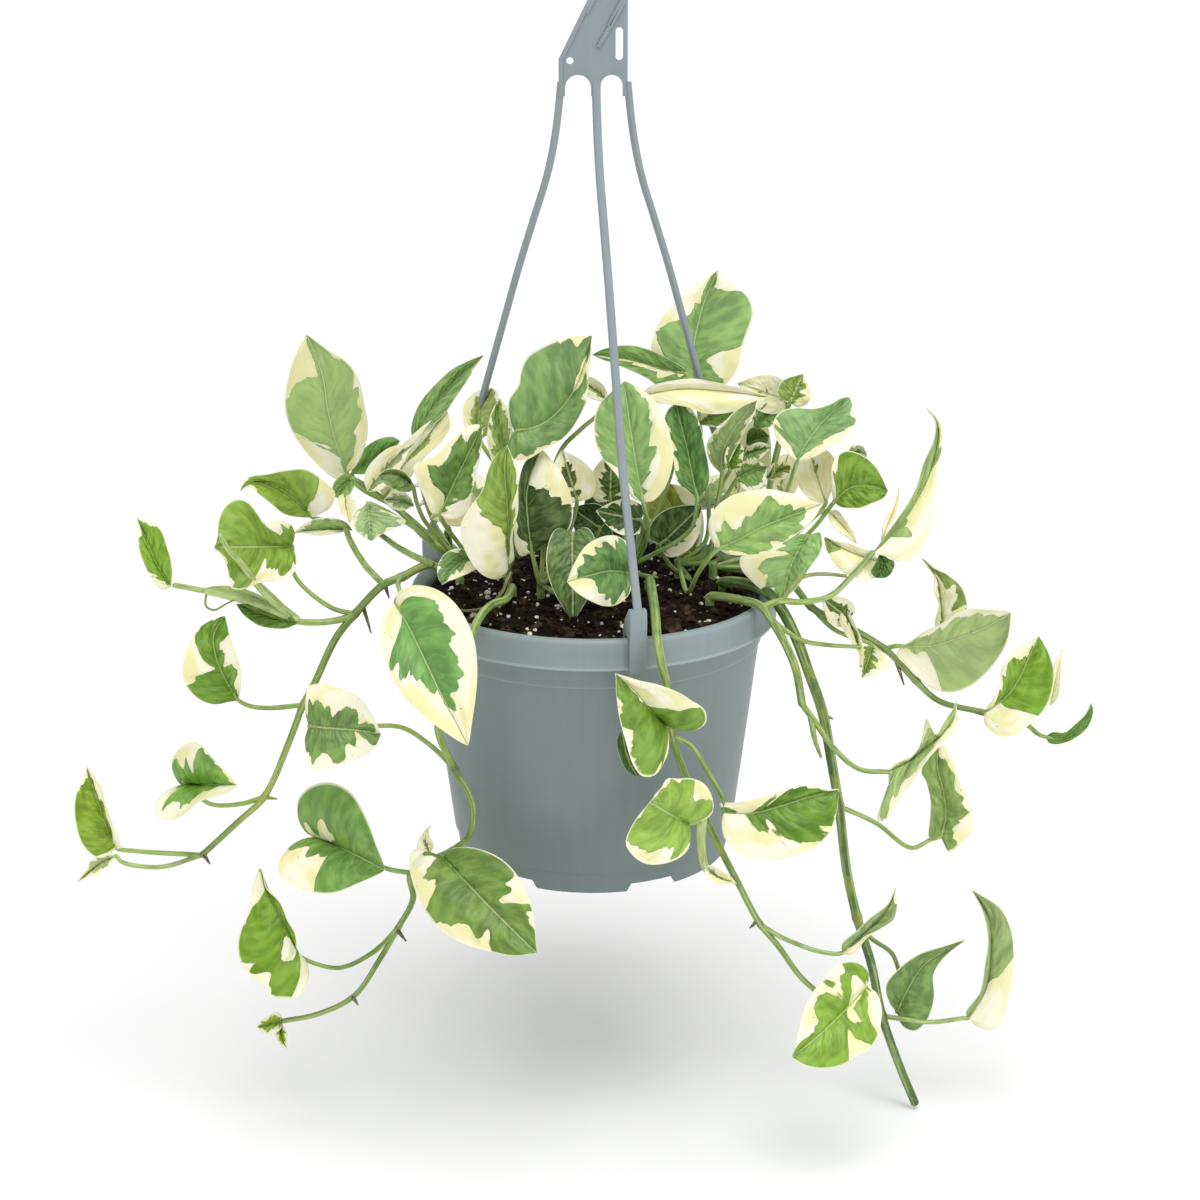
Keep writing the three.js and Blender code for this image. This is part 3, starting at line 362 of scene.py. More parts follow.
def leaf_side(name, under):
    """One face of a blade: green from the midrib out as far as its corners say, with lobed
    edges that lean toward the tip as the side veins do, on cream."""
    finish = Finish(name, IOR=1.45)
    own = looks().leaf
    along, across, _ = finish.parts(finish.node("UVMap", uv_map="UVMap").outputs[0])
    side = finish.sum("MULTIPLY_ADD", across, -2.0, 1.0)
    out = finish.sum("ABSOLUTE", side)
    tint = finish.value("tint")
    seed = finish.sum("MULTIPLY", tint["Alpha"], 60.0)
    inside, beyond, from_rib = finish.parts(finish.value("pattern")["Vector"])
    leaning = finish.sum("MULTIPLY_ADD", out, -0.16, along)

    def veined(per_length, per_side, shift, detail=3.0, rough=0.6):
        return finish.grain(finish.place(
            finish.sum("MULTIPLY", leaning, per_length), finish.sum("MULTIPLY", side, per_side),
            finish.sum("ADD", seed, shift)), 1.0, detail, rough)

    wander = finish.sum("MULTIPLY", veined(4.0, 1.2, 61.0), 2.6)
    off_vein = finish.sum("PINGPONG", finish.sum("MULTIPLY_ADD", leaning, float(own.veins),
                                                 wander), 0.5)

    def lobed(value, shift):
        lobes = finish.sum("SUBTRACT", veined(11.0, 1.0, shift, 0.0), 0.5)
        nicks = finish.sum("SUBTRACT", veined(27.0, 2.6, shift + 3.0, 1.0), 0.5)
        moved = finish.sum("MULTIPLY_ADD", lobes, 0.95, value)
        return finish.sum("MULTIPLY_ADD", nicks, 0.26, moved)

    near = lobed(inside, 0.0)
    beyond = lobed(beyond, 11.0)
    green = finish.sum("MINIMUM", finish.step(near, -0.018, 0.02),
                       finish.step(beyond, -0.018, 0.02))
    fleck = finish.step(veined(46.0, 9.0, 21.0, 1.0), 0.77, 0.8)
    green = finish.sum("MAXIMUM", green, fleck)
    # green parts
    mottle = veined(7.0, 2.2, 31.0, 1.0)
    strokes = veined(17.0, 2.0, 35.0, 1.0)
    bright = finish.mix(0.25, finish.shade(tint["Color"], 1.3), linear(0xB9D27E))
    deep = finish.shade(tint["Color"], 0.58)
    leaf = finish.mix(finish.step(mottle, 0.5, 0.64, 0.0, 0.5), tint["Color"], bright)
    leaf = finish.mix(finish.step(mottle, 0.48, 0.36, 0.0, 0.5), leaf, deep)
    leaf = finish.mix(finish.step(strokes, 0.5, 0.68, 0.0, 0.4), leaf, bright)
    leaf = finish.mix(finish.step(strokes, 0.48, 0.3, 0.0, 0.45), leaf, deep)
    # Painted shade: the green darkens in a band along the midrib, where the blade creases.
    leaf = finish.mix(finish.step(from_rib, 2.4, 0.6, 0.0, 0.3), leaf, deep)
    leaf = finish.mix(finish.step(near, 0.06, 0.0, 0.0, 0.2), leaf, deep)
    # cream parts
    warm = finish.step(veined(3.0, 2.0, 41.0, 1.0), 0.4, 0.62)
    cream = finish.mix(warm, tuple(own.cream), tuple(own.straw))
    wash = finish.step(veined(12.0, 2.0, 51.0, 1.0), 0.56, 0.66, 0.0, 0.3)
    cream = finish.mix(finish.sum("MULTIPLY", wash, finish.step(near, -0.24, -0.02)),
                       cream, bright)
    shade = finish.mix(green, cream, leaf)
    # ribs and edge
    fading = finish.step(out, 0.95, 0.35)
    vein = finish.sum("MULTIPLY", finish.step(off_vein, 0.09, 0.0), fading)
    rib = finish.step(from_rib, 0.62, 0.3)
    pale_rib = finish.mix(0.62, tint["Color"], linear(0xCFDFA2))
    shade = finish.mix(finish.sum("MULTIPLY", finish.sum("MULTIPLY", vein, green), 0.16), shade,
                       pale_rib)
    shade = finish.mix(finish.sum("MULTIPLY", rib, 0.85), shade, pale_rib)
    shade = finish.mix(finish.step(out, 0.955, 0.985, 0.0, 0.8), shade, linear(0xEDF0CC))
    if under:
        shade = finish.mix(finish.sum("MULTIPLY_ADD", green, 0.24, 0.06), shade,
                           linear(0xC0D0A0))
    pucker = finish.sum("MULTIPLY", veined(7.0, 2.4, 81.0, 1.0),
                        finish.step(green, 0.0, 1.0, 1.3, 2.8))
    quilt = finish.sum("MULTIPLY_ADD", finish.step(off_vein, 0.0, 0.35),
                       finish.sum("MULTIPLY", finish.sum("MULTIPLY", fading, green), 0.3),
                       pucker)
    fine = veined(120.0, 40.0, 71.0, 2.0)
    height = finish.sum("MULTIPLY_ADD", fine, 0.06, quilt)
    height = finish.sum("MULTIPLY_ADD", rib, 1.0 if under else -0.25, height)
    rough = finish.step(fine, 0.3, 0.7, 0.5 if under else 0.32, 0.62 if under else 0.44)
    return finish.done(Base_Color=shade, Roughness=rough,
                       Normal=finish.relief(height, 0.0009, 0.8))


def stalk_skin(name):
    """Stalks and vines: long streaks of lighter and darker green, yellower and darker stretches
    and pale specks."""
    finish = Finish(name, IOR=1.45)
    along, across, _ = finish.parts(finish.node("UVMap", uv_map="UVMap").outputs[0])
    here = finish.here()
    tint = finish.value("tint")
    seed = finish.sum("MULTIPLY", tint["Alpha"], 60.0)
    round_x = finish.sum("COSINE", finish.sum("MULTIPLY", across, 2 * math.pi))
    round_y = finish.sum("SINE", finish.sum("MULTIPLY", across, 2 * math.pi))
    streak = finish.grain(finish.place(
        finish.sum("MULTIPLY_ADD", along, 9.0, seed), finish.sum("MULTIPLY", round_x, 1.8),
        finish.sum("MULTIPLY", round_y, 1.8)), 1.0)
    stretch = finish.grain(here, 55.0, 2.0)
    speck = finish.grain(here, 900.0, 2.0)
    pale = finish.mix(0.5, tint["Color"], linear(0xD2DEA2))
    deep = finish.shade(tint["Color"], 0.45)
    shade = finish.mix(finish.step(streak, 0.5, 0.6, 0.0, 0.8), tint["Color"], pale)
    shade = finish.mix(finish.step(streak, 0.46, 0.36, 0.0, 0.7), shade, deep)
    shade = finish.mix(finish.step(stretch, 0.52, 0.66, 0.0, 0.4), shade, linear(0xA9B24C))
    shade = finish.mix(finish.step(stretch, 0.46, 0.34, 0.0, 0.5), shade, deep)
    shade = finish.mix(finish.step(speck, 0.66, 0.7, 0.0, 0.35), shade, linear(0xD3DCB0))
    height = finish.sum("MULTIPLY_ADD", speck, 0.3, streak)
    return finish.done(Base_Color=shade, Roughness=finish.step(streak, 0.3, 0.7, 0.36, 0.52),
                       Normal=finish.relief(height, 0.0004, 0.7))


# Pot
# Painted light on the pot, not its own colour: the body brightens up to the ledge, and thin steps of
# brightening and darkening at the ledge, under the rim, at its lower lip and at its top edge are
# painted highlights and painted shade lines.
POT_PAINTED_LIGHT_BANDS = ((0, 104, 1.28), (103.9, 104.3, 1.2), (104.8, 105.2, 0.84), (108, 114.5, 1.12),
             (114.7, 115.2, 1.35), (116.0, 116.6, 0.76), (126.4, 127.6, 1.1))
FOOT_INSIDE = 61.6
FLOOR_UNDERSIDE = 5.0
FLOOR_TOP = 7.0
FEET = 6
FOOT_SPREAD = 36.0
FIRST_FOOT = -5.0
SKIRT_RAISE = 4.0
DRAIN_HOLES = 6
DRAIN_RADIUS = 4.0
DRAIN_CIRCLE = 42.0
RIM_HEIGHT = 128.8


def pot_profile():
    """Radius and height from the underside's edge, out and up the side and down inside."""
    foot = looks().pot.foot_radius / MM
    rim = looks().pot.rim_radius / MM
    wall = looks().pot.wall / MM
    return [
        (FOOT_INSIDE, 0.5), (FOOT_INSIDE + 0.4, 0.0), (foot - 0.4, 0.0), (foot, 0.5),
        (foot + 1.0, 9.9), (foot + 1.2, 10.4), (foot + 1.9, 10.7), (foot + 2.2, 11.2),
        (foot + 5.8, 40.0), (foot + 9.6, 71.0), (foot + 13.4, 103.4), (foot + 13.6, 104.0),
        (foot + 14.1, 104.3), (foot + 14.4, 104.9), (foot + 15.1, 113.6),
        (foot + 15.4, 114.6), (rim - 1.0, 114.6), (rim - 0.3, 114.7), (rim, 115.1),
        (rim, 115.9), (rim - 0.25, 116.4), (rim - 0.45, 122.0), (rim - 0.7, 126.8),
        (rim - 1.1, 127.8), (rim - 1.8, 128.5), (rim - 2.8, RIM_HEIGHT),
        (rim - 4.2, RIM_HEIGHT - 0.2), (rim - 5.4, RIM_HEIGHT - 0.9),
        (rim - 6.6, RIM_HEIGHT - 2.2), (foot + 15.2 - wall, RIM_HEIGHT - 4.0),
        (foot + 13.5 - wall, 104.3), (foot + 2.2 - wall, 11.0), (foot + 1.0 - wall, 7.6),
        (foot + 0.2 - wall, FLOOR_TOP),
    ]


def make_pot():
    own = looks().pot
    start = FOOT_INSIDE * MM
    height = (FLOOR_UNDERSIDE - HANG_HEIGHT) * MM
    deselect()
    bpy.ops.mesh.primitive_circle_add(vertices=own.sides, radius=start, fill_type="NGON",
                                      location=(0, 0, height))
    pot = bpy.context.object
    bpy.ops.object.transform_apply()
    bpy.ops.object.mode_set(mode="EDIT")
    bpy.ops.mesh.select_all(action="SELECT")
    bpy.ops.mesh.region_to_loop()
    last = (start, height)
    for radius, up in pot_profile():
        ring = (radius * MM, (up - HANG_HEIGHT) * MM)
        grow = ring[0] / last[0]
        bpy.ops.mesh.extrude_edges_move(
            TRANSFORM_OT_translate={"value": (0, 0, ring[1] - last[1])})
        bpy.ops.transform.resize(value=(grow, grow, 1), center_override=(0, 0, ring[1]))
        last = ring
    bpy.ops.mesh.edge_face_add()
    bpy.ops.mesh.select_all(action="SELECT")
    face_out()
    bpy.ops.object.mode_set(mode="OBJECT")
    pitch = 360 / FEET
    half = math.radians((pitch - FOOT_SPREAD) / 2) * own.foot_radius
    for i in range(FEET):
        azimuth = math.radians(FIRST_FOOT + (i + 0.5) * pitch)
        deselect()
        bpy.ops.mesh.primitive_cube_add(size=1)
        notch = bpy.context.object
        shape = corners(notch)
        top = shape[:, 2] > 0
        x = np.where(shape[:, 0] > 0, 1, -1) * np.where(top, half - 3 * MM, half)
        y = shape[:, 1] * 20 * MM - own.foot_radius
        z = np.where(top, SKIRT_RAISE, -2.0)
        turned = np.stack([x * math.cos(azimuth) - y * math.sin(azimuth),
                           x * math.sin(azimuth) + y * math.cos(azimuth),
                           (z - HANG_HEIGHT) * MM], 1)
        cut_with(pot, set_corners(notch, turned))
    for i in range(DRAIN_HOLES):
        angle = 2 * math.pi * i / DRAIN_HOLES
        deselect()
        bpy.ops.mesh.primitive_cylinder_add(
            vertices=32, radius=DRAIN_RADIUS * MM, depth=0.02,
            location=(DRAIN_CIRCLE * MM * math.cos(angle), DRAIN_CIRCLE * MM * math.sin(angle),
                      (FLOOR_TOP - HANG_HEIGHT) * MM))
        drill = bpy.context.object
        bpy.ops.object.transform_apply()
        cut_with(pot, drill)
    edit(pot, merge_doubles, face_out)
    smooth(pot, 28)
    pot.data.materials.append(plastic("pot_plastic", tuple(own.colour), 0.25,
                                      POT_PAINTED_LIGHT_BANDS))
    settle(pot, "moulded_pot", "pot", "pot")


# Hanger
PLATE_THICK = 2.6
RIB_THICK = 4.6
RIB_WIDTH = 2.0
PLATE_LEFT = -15.0
PLATE_RIGHT = 15.2
PLATE_BOTTOM = 352.0
PLATE_SHOULDER = 367.6
SLANT_TOP = (-1.2, 393.1)
INNER_RIB_FOOT = (2.2, 373.1)
INNER_RIB_TOP = (14.0, 393.1)
ARCHES = ((-12.2, -0.8), (3.4, 13.0))
ARCH_TOP = 361.2
HOLE_RADIUS = 1.6
EYE_CENTRE = (-10.0, 367.2)
SLOT_FOOT = (11.5, 369.0)
SLOT_HEAD = (11.5, 380.0)
NECK_WIDTH = 13.2
HOOK_BAND = 11.0
HOOK_TIP_WIDTH = 8.5
HOOK_MEAN_RADIUS = 21.0
NECK_LEAN = math.radians(28.5)
HOOK_END = math.radians(206)
HOOK_CENTRE = HANG_HEIGHT - HOOK_MEAN_RADIUS + HOOK_BAND / 2
HOOK_STEPS = 44
LEG_TOP = 358.0
LEG_FOOT = 141.0
LEG_SPREAD = ((0, 0), (0.1, 0.035), (0.19, 0.1), (0.377, 0.295), (0.745, 0.646), (1, 1))
LEGS = ((13.0, 1.3), (116.0, 15.2), (-115.0, -13.9))
RIM_LOWER = 114.8
STEP_INSIDE = 76.35
GAP = 0.35
SOIL_EDGE_HEIGHT = 120.3


def slab(outline, thickness, soften):
    """An upright slab, its outline drawn across and up, centred on the middle of its
    thickness, with its edges softened."""
    deselect()
    bpy.ops.mesh.primitive_circle_add(vertices=len(outline), radius=1, fill_type="NGON")
    thing = bpy.context.object
    flat = np.array([(x, -thickness / 2, z) for x, z in outline])
    set_corners(thing, to_row(flat))
    edit(thing, lambda: bpy.ops.mesh.extrude_region_move(
        TRANSFORM_OT_translate={"value": (0, thickness * MM, 0)}))
    edit(thing, face_out)
    return modify(thing, "BEVEL", width=soften * MM, segments=2, limit_method="ANGLE",
                  angle_limit=math.radians(38), harden_normals=False)


def arc(centre, radius, start, end, steps):
    return [(centre[0] + radius * math.cos(a), centre[1] + radius * math.sin(a))
            for a in np.linspace(start, end, steps)]


def band(line, widths, thickness, soften=0.3):
    line = np.asarray(line, float)
    ends = np.vstack([line[:1], line, line[-1:]])
    along = ends[2:] - ends[:-2]
    along /= np.linalg.norm(along, axis=1, keepdims=True)
    across = np.stack([-along[:, 1], along[:, 0]], 1) * np.asarray(widths)[:, None] / 2
    return slab([*(line + across), *(line - across)[::-1]], thickness, soften)


def offset(line, distances):
    line = np.asarray(line, float)
    ends = np.vstack([line[:1], line, line[-1:]])
    along = ends[2:] - ends[:-2]
    along /= np.linalg.norm(along, axis=1, keepdims=True)
    return line + np.stack([-along[:, 1], along[:, 0]], 1) * np.asarray(distances)[:, None]


def hook_line():
    foot = np.array([(SLANT_TOP[0] + INNER_RIB_TOP[0]) / 2, SLANT_TOP[1]])
    sweep = np.linspace(-NECK_LEAN, HOOK_END, HOOK_STEPS + 1)
    return [foot + (-4.5, -8.25), foot,
            *arc((0.0, HOOK_CENTRE), HOOK_MEAN_RADIUS, sweep[0], sweep[-1], HOOK_STEPS + 1)]


def head_plate():
    outline = [(PLATE_LEFT, PLATE_BOTTOM), (ARCHES[0][0], PLATE_BOTTOM)]
    for i, (start, end) in enumerate(ARCHES):
        radius = (end - start) / 2
        outline += arc(((start + end) / 2, ARCH_TOP - radius), radius, math.pi, 0, 17)
        outline += [(end, PLATE_BOTTOM), (ARCHES[1][0] if i == 0 else PLATE_RIGHT, PLATE_BOTTOM)]
    outline += [(PLATE_RIGHT, SLANT_TOP[1]), SLANT_TOP, (PLATE_LEFT, PLATE_SHOULDER)]
    plate = slab(outline, PLATE_THICK, 0.3)
    eye = slab(arc(EYE_CENTRE, HOLE_RADIUS, 0, 2 * math.pi * 23 / 24, 24), 20, 0.01)
    slot = slab(arc(SLOT_FOOT, HOLE_RADIUS, math.pi, 2 * math.pi, 13)
                + arc(SLOT_HEAD, HOLE_RADIUS, 0, math.pi, 13), 20, 0.01)
    return cut_with(cut_with(plate, eye), slot)


def leg_point(azimuth, top, fall):
    reach = looks().pot.rim_radius / MM + 1.6
    falls, spreads = zip(*LEG_SPREAD)
    spread = np.interp(fall, falls, spreads)
    end = (math.sin(azimuth) * reach, -math.cos(azimuth) * reach)
    return np.array([top + (end[0] - top) * spread, end[1] * spread,
                     LEG_TOP + (LEG_FOOT - LEG_TOP) * fall])


def make_leg(azimuth, top):
    """A leg of rounded section that leaves the plate straight down and spreads to its clip."""
    own = looks().hanger
    falls = (0, 0.06, 0.12, 0.19, 0.28, 0.377, 0.5, 0.62, 0.745, 0.88, 1)
    line = [leg_point(azimuth, top, fall) for fall in falls]
    steps = 60
    centres, along = smooth_line(line, steps)
    across = np.array([math.cos(azimuth), math.sin(azimuth), 0])
    across = across - along * (along @ across)[:, None]
    across /= np.linalg.norm(across, axis=1, keepdims=True)
    deep = np.cross(along, across)
    leg, u, v = sheet(steps + 2, 20)
    row = np.clip(np.rint(u * (steps + 2)).astype(int) - 1, 0, steps)
    full = ((u > 1e-4) & (u < 1 - 1e-4))[:, None]
    angle = 2 * math.pi * v
    squared = lambda wave: np.sign(wave) * np.abs(wave) ** 0.6
    round_x = (squared(np.cos(angle)) * own.leg_width / MM / 2)[:, None]
    round_y = (squared(np.sin(angle)) * own.leg_thickness / MM / 2)[:, None]
    set_corners(leg, to_row(centres[row] + full * (across[row] * round_x + deep[row] * round_y)))
    return edit(leg, merge_doubles, face_out)


def make_clip(azimuth):
    """The clip that grips the rim: over the top, down outside and in behind the wall."""
    own = looks().hanger
    rim = looks().pot.rim_radius / MM
    outline = [
        (rim + GAP + 0.1, RIM_LOWER - 1), (rim + GAP + 2.6, RIM_LOWER - 1),
        (rim + GAP + 3, LEG_FOOT - 3), (rim + 2.6, LEG_FOOT + 2), (rim - 0.6, LEG_FOOT + 2),
        (STEP_INSIDE + 1, LEG_FOOT - 5), (STEP_INSIDE - 2, RIM_HEIGHT + 3),
        (STEP_INSIDE - 2, SOIL_EDGE_HEIGHT + 1.4), (STEP_INSIDE, SOIL_EDGE_HEIGHT + 1.4),
        (STEP_INSIDE, RIM_HEIGHT + GAP), (rim + GAP + 0.1, RIM_HEIGHT + GAP),
    ]
    clip = slab(outline, own.clip_width / MM, 0.45)
    turn = azimuth - math.pi / 2
    x, y, z = corners(clip).T
    return set_corners(clip, np.stack([x * math.cos(turn) - y * math.sin(turn),
                                       x * math.sin(turn) + y * math.cos(turn), z], 1))


def make_hanger():
    line = hook_line()
    widths = [NECK_WIDTH, NECK_WIDTH, *np.linspace(HOOK_BAND + 1.2, HOOK_TIP_WIDTH,
                                                   HOOK_STEPS + 1)]
    edges = (np.array(widths) - RIB_WIDTH) / 2
    thin = [RIB_WIDTH] * len(line)
    slant = [(PLATE_LEFT + 1, PLATE_BOTTOM), (PLATE_LEFT + 1, PLATE_SHOULDER), SLANT_TOP]
    head = head_plate()
    added = [
        band(line, widths, PLATE_THICK), band(offset(line, edges), thin, RIB_THICK, 0.5),
        band(offset(line, -edges), thin, RIB_THICK, 0.5),
        band(slant, [RIB_WIDTH] * 3, RIB_THICK, 0.5),
        band([INNER_RIB_FOOT, INNER_RIB_TOP], [RIB_WIDTH] * 2, RIB_THICK, 0.5),
    ]
    for more in added:
        cut_with(head, more, "UNION")
    for azimuth, top in LEGS:
        turn = math.radians(azimuth)
        cut_with(head, make_leg(turn, top), "UNION")
        cut_with(head, make_clip(turn), "UNION")
    smooth(head, 32)
    head.data.materials.append(plastic("hanger_plastic", tuple(looks().hanger.colour), 0.3))
    settle(head, "moulded_hanger", "hanger", "hanger")


# Soil
SOIL_RADIUS = 75.95
SOIL_HEAP = 2.6
SOIL_EDGE = 125.2
BANK = 6.5
BANK_RADIUS = 66.0
BANK_WIDTH = 9.0
SOIL_LUMP = 1.1


def soil_height(x, y):
    out = np.minimum(1, np.hypot(x, y) / SOIL_RADIUS)
    lumps = np.sin(x * 0.21 + 1.3) * np.cos(y * 0.17) + np.sin((x + y) * 0.33) * 0.6
    bank = BANK * np.exp(-((np.hypot(x, y) - BANK_RADIUS) / BANK_WIDTH) ** 2)
    lumps = lumps + bank / SOIL_LUMP * np.clip(0.5 + y / 60, 0, 1)
    return SOIL_EDGE + SOIL_HEAP * (1 - out ** 2) + SOIL_LUMP * lumps * (1 - out ** 4)


def rough_height(x, y):
    """The heap with its crumbly top, which fades at the wall."""
    crumbly = np.array([
        noise.fractal(Vector((a * 0.16, b * 0.16, 3.1)), 0.6, 2.1, 5) for a, b in zip(x, y)])
    fade = np.clip((SOIL_RADIUS - np.hypot(x, y)) / 6, 0, 1)
    return soil_height(x, y) + crumbly * 1.5 * fade


def make_mix():
    rows, around = 110, 200
    bed, u, v = sheet(rows, around)
    under = 8
    row = np.rint(u * rows)
    angle = 2 * math.pi * v
    wall = np.array([(0, FLOOR_TOP + GAP), (62.3, FLOOR_TOP + GAP), (64.1, 11.0), (70, 60),
                     (75.4, 104.3), (75.6, 112), (75.8, 118), (SOIL_RADIUS, SOIL_EDGE)])
    on_top = row >= under
    inward = 1 - (row - under) / (rows - under)
    index = np.clip(row, 0, under - 1).astype(int)
    radius = np.where(on_top, SOIL_RADIUS * np.clip(inward, 0, 1), wall[index, 0])
    x, y = radius * np.cos(angle), radius * np.sin(angle)
    z = np.where(on_top, rough_height(x, y), wall[index, 1])
    set_corners(bed, to_row(np.stack([x, y, z], 1)))
    edit(bed, merge_doubles, face_out)
    smooth(bed, 70)
    bed.data.materials.append(peat("damp_peat", tuple(looks().soil.mix)))
    settle(bed, "potting_mix", "soil", "soil")


def scatter(name, count, size, spread, flat, faces, material, draws):
    """Grains of one kind on the soil: one is modelled and copied, each copy with its own mesh."""
    deselect()
    bpy.ops.mesh.primitive_ico_sphere_add(subdivisions=faces, radius=1)
    model = bpy.context.object
    round_one = corners(model)
    grains = []
    for _ in range(count):
        radius = SOIL_RADIUS * 0.985 * math.sqrt(draws.uniform(0.02, 1))
        angle = draws.uniform(0, 2 * math.pi)
        x, y = radius * math.cos(angle), radius * math.sin(angle)
        scale = size * draws.lognormal(0, spread)
        lumpy = round_one * draws.uniform(0.72, 1.2, (len(round_one), 1))
        stretch = draws.uniform(0.75, 1.3, 3) * scale
        turn = draws.uniform(0, 2 * math.pi)
        across = lumpy[:, 0] * stretch[0]
        deep = lumpy[:, 1] * stretch[1]
        up = rough_height(np.array([x]), np.array([y]))[0] + scale * flat
        grain = model.copy()
        grain.data = model.data.copy()
        bpy.context.collection.objects.link(grain)
        set_corners(grain, to_row(np.stack([
            x + across * math.cos(turn) - deep * math.sin(turn),
            y + across * math.sin(turn) + deep * math.cos(turn),
            up + lumpy[:, 2] * stretch[2] * 0.8], 1)))
        grains.append(grain)
    bpy.data.objects.remove(model)
    whole = join(grains)
    smooth(whole, 45)
    whole.data.materials.append(material)
    settle(whole, name, "soil")


def make_grains():
    own = looks().soil
    draws = np.random.default_rng(41)
    scatter("white_grains", own.grains, own.grain_size / MM, 0.35, 0.35, 2,
            white_grain("white_grain", tuple(own.grain)), draws)
    scatter("peat_crumbs", own.crumbs, 0.8, 0.5, 0.45, 1,
            peat("peat_crumb", blend(own.mix, linear(0x55432F), 0.25)), draws)


# Leaves and stems. A place on the plant is written (column, row, depth): where it is seen from
# the front in a frame of 1200 by 1200 squares, and how far behind the pot's axis it lies.
EYE = np.array([3.1, -1130.5, 486.5])
EYE_PITCH = math.radians(17.96)
EYE_FOCAL = 2551.0
FRAME_CENTRE = 600.0
EDGE_RISE = 0.6
EDGE_FALL = 1.05
EDGE_PEAK = 0.3389
LOBE_AT = 0.1
VEIN_LAG = 1.25
STALK_RADIUS = 1.05
ROOT_DEPTH = 20.0
LARGE_BLADE = 24.0
LEAN = 0.32
ROW_PITCH = 0.443
VINE_GREEN = 0x7E9A4E
ROOT_BROWN = 0x4B4334
NODE_BROWN = 0x74703F


def seen(place):
    column, row, depth = place
    across = (column - FRAME_CENTRE) / EYE_FOCAL
    above = (FRAME_CENTRE - row) / EYE_FOCAL
    ray = np.array([across, math.cos(EYE_PITCH) + above * math.sin(EYE_PITCH),
                    above * math.cos(EYE_PITCH) - math.sin(EYE_PITCH)])
    return EYE + ray * (depth - EYE[1]) / ray[1]


def in_plan(place):
    return np.array(place, float)


def unit(vector):
    return vector / np.linalg.norm(vector, axis=-1, keepdims=True)


def smooth_line(points, steps):
    """Places and directions along a smooth line that passes through points."""
    points = np.asarray(points, float)
    run = np.vstack([2 * points[0] - points[1], points, 2 * points[-1] - points[-2]])
    at = np.linspace(0, len(points) - 1, steps + 1)
    span = np.minimum(at.astype(int), len(points) - 2)
    w = (at - span)[:, None]
    a, b, c, d = (run[span + k] for k in range(4))
    first, middle, last = (np.maximum(np.linalg.norm(q - p, axis=1, keepdims=True), 1e-6) ** 0.5
                           for p, q in ((a, b), (b, c), (c, d)))
    leave = ((b - a) / first - (c - a) / (first + middle) + (c - b) / middle) * middle
    arrive = ((c - b) / middle - (d - b) / (middle + last) + (d - c) / last) * middle
    square = 3 * (c - b) - 2 * leave - arrive
    cube = 2 * (b - c) + leave + arrive
    places = b + leave * w + square * w ** 2 + cube * w ** 3
    return places, unit(leave + 2 * square * w + 3 * cube * w ** 2)


def paint(thing, colour, seed, pattern=None):
    """Gives each corner its green, the piece's number and where the green ends."""
    count = len(thing.data.vertices)
    colours = np.empty((count, 4), np.float32)
    colours[:, :3] = colour
    colours[:, 3] = seed
    thing.data.attributes.new("tint", "FLOAT_COLOR", "POINT").data.foreach_set(
        "color", colours.ravel())
    layer = thing.data.attributes.new("pattern", "FLOAT_VECTOR", "POINT")
    if pattern is not None:
        layer.data.foreach_set("vector", np.asarray(pattern, np.float32).ravel())


def wear(thing, index):
    for material in FOLIAGE:
        thing.data.materials.append(bpy.data.materials[material])
    thing.data.polygons.foreach_set("material_index", [index] * len(thing.data.polygons))


FOLIAGE = ("leaf_upper_side", "leaf_under_side", "stalk_skin")
UPPER, UNDER, SKIN = range(3)


def tube(points, radii, colour, seed, sides=10, per_span=8, knuckles=()):
    """A closed round stalk through points, with its ends domed, thicker and browner at its
    knuckles, which are numbers of points."""
    spans = len(points) - 1
    steps = spans * per_span
    centres, along = smooth_line(points, steps)
    at = np.linspace(0, spans, steps + 1)
    radius = np.interp(at, np.linspace(0, spans, len(radii)), radii)
    tint = np.tile(colour, (steps + 1, 1)).astype(float)
    walked = np.concatenate([[0], np.cumsum(np.linalg.norm(np.diff(centres, axis=0), axis=1))])
    for knuckle in knuckles:
        off = np.abs(walked - walked[knuckle * per_span])
        radius = radius * (1 + 0.2 * np.exp(-(off / 2.2) ** 2))
        scar = np.exp(-(off / 0.9) ** 2)[:, None] * 0.7
        tint = tint * (1 - scar) + np.array(linear(NODE_BROWN)) * scar
    normal = np.array([0.31, 0.52, 0.79])
    normals = np.empty_like(centres)
    for i, direction in enumerate(along):
        normal = unit(normal - direction * (normal @ direction))
        normals[i] = normal
    sideways = np.cross(along, normals)
    stalk, u, v = sheet(steps + 4, sides)
    row = np.rint(u * (steps + 4)).astype(int) - 2
    ring = np.clip(row, 0, steps)
    shrink = np.select([(row == -2) | (row == steps + 2), (row == -1) | (row == steps + 1)],
                       [0.0, 0.75], 1.0)
    push = np.select([row == -2, row == -1, row == steps + 1, row == steps + 2],
                     [-0.7, -0.45, 0.45, 0.7], 0.0)
    size = radius[ring] * shrink
    angle = 2 * math.pi * v
    places = (centres[ring] + along[ring] * (push * radius[ring])[:, None]
              + normals[ring] * (size * np.cos(angle))[:, None]
              + sideways[ring] * (size * np.sin(angle))[:, None])
    set_corners(stalk, to_row(places))
    paint(stalk, tint[ring], seed)
    wear(stalk, SKIN)
    return edit(stalk, merge_doubles, face_out)


def blade_frame(leaf, place, outlook):
    base, tip = place(leaf["base"]), place(leaf["tip"])
    length = np.linalg.norm(tip - base)
    forward = (tip - base) / length
    toward = unit(outlook - base)
    facing = unit(toward - forward * (toward @ forward))
    turn = math.radians(leaf["turn"])
    face = facing * math.cos(turn) + np.cross(forward, facing) * math.sin(turn)
    return base, length, forward, face, np.cross(forward, face)


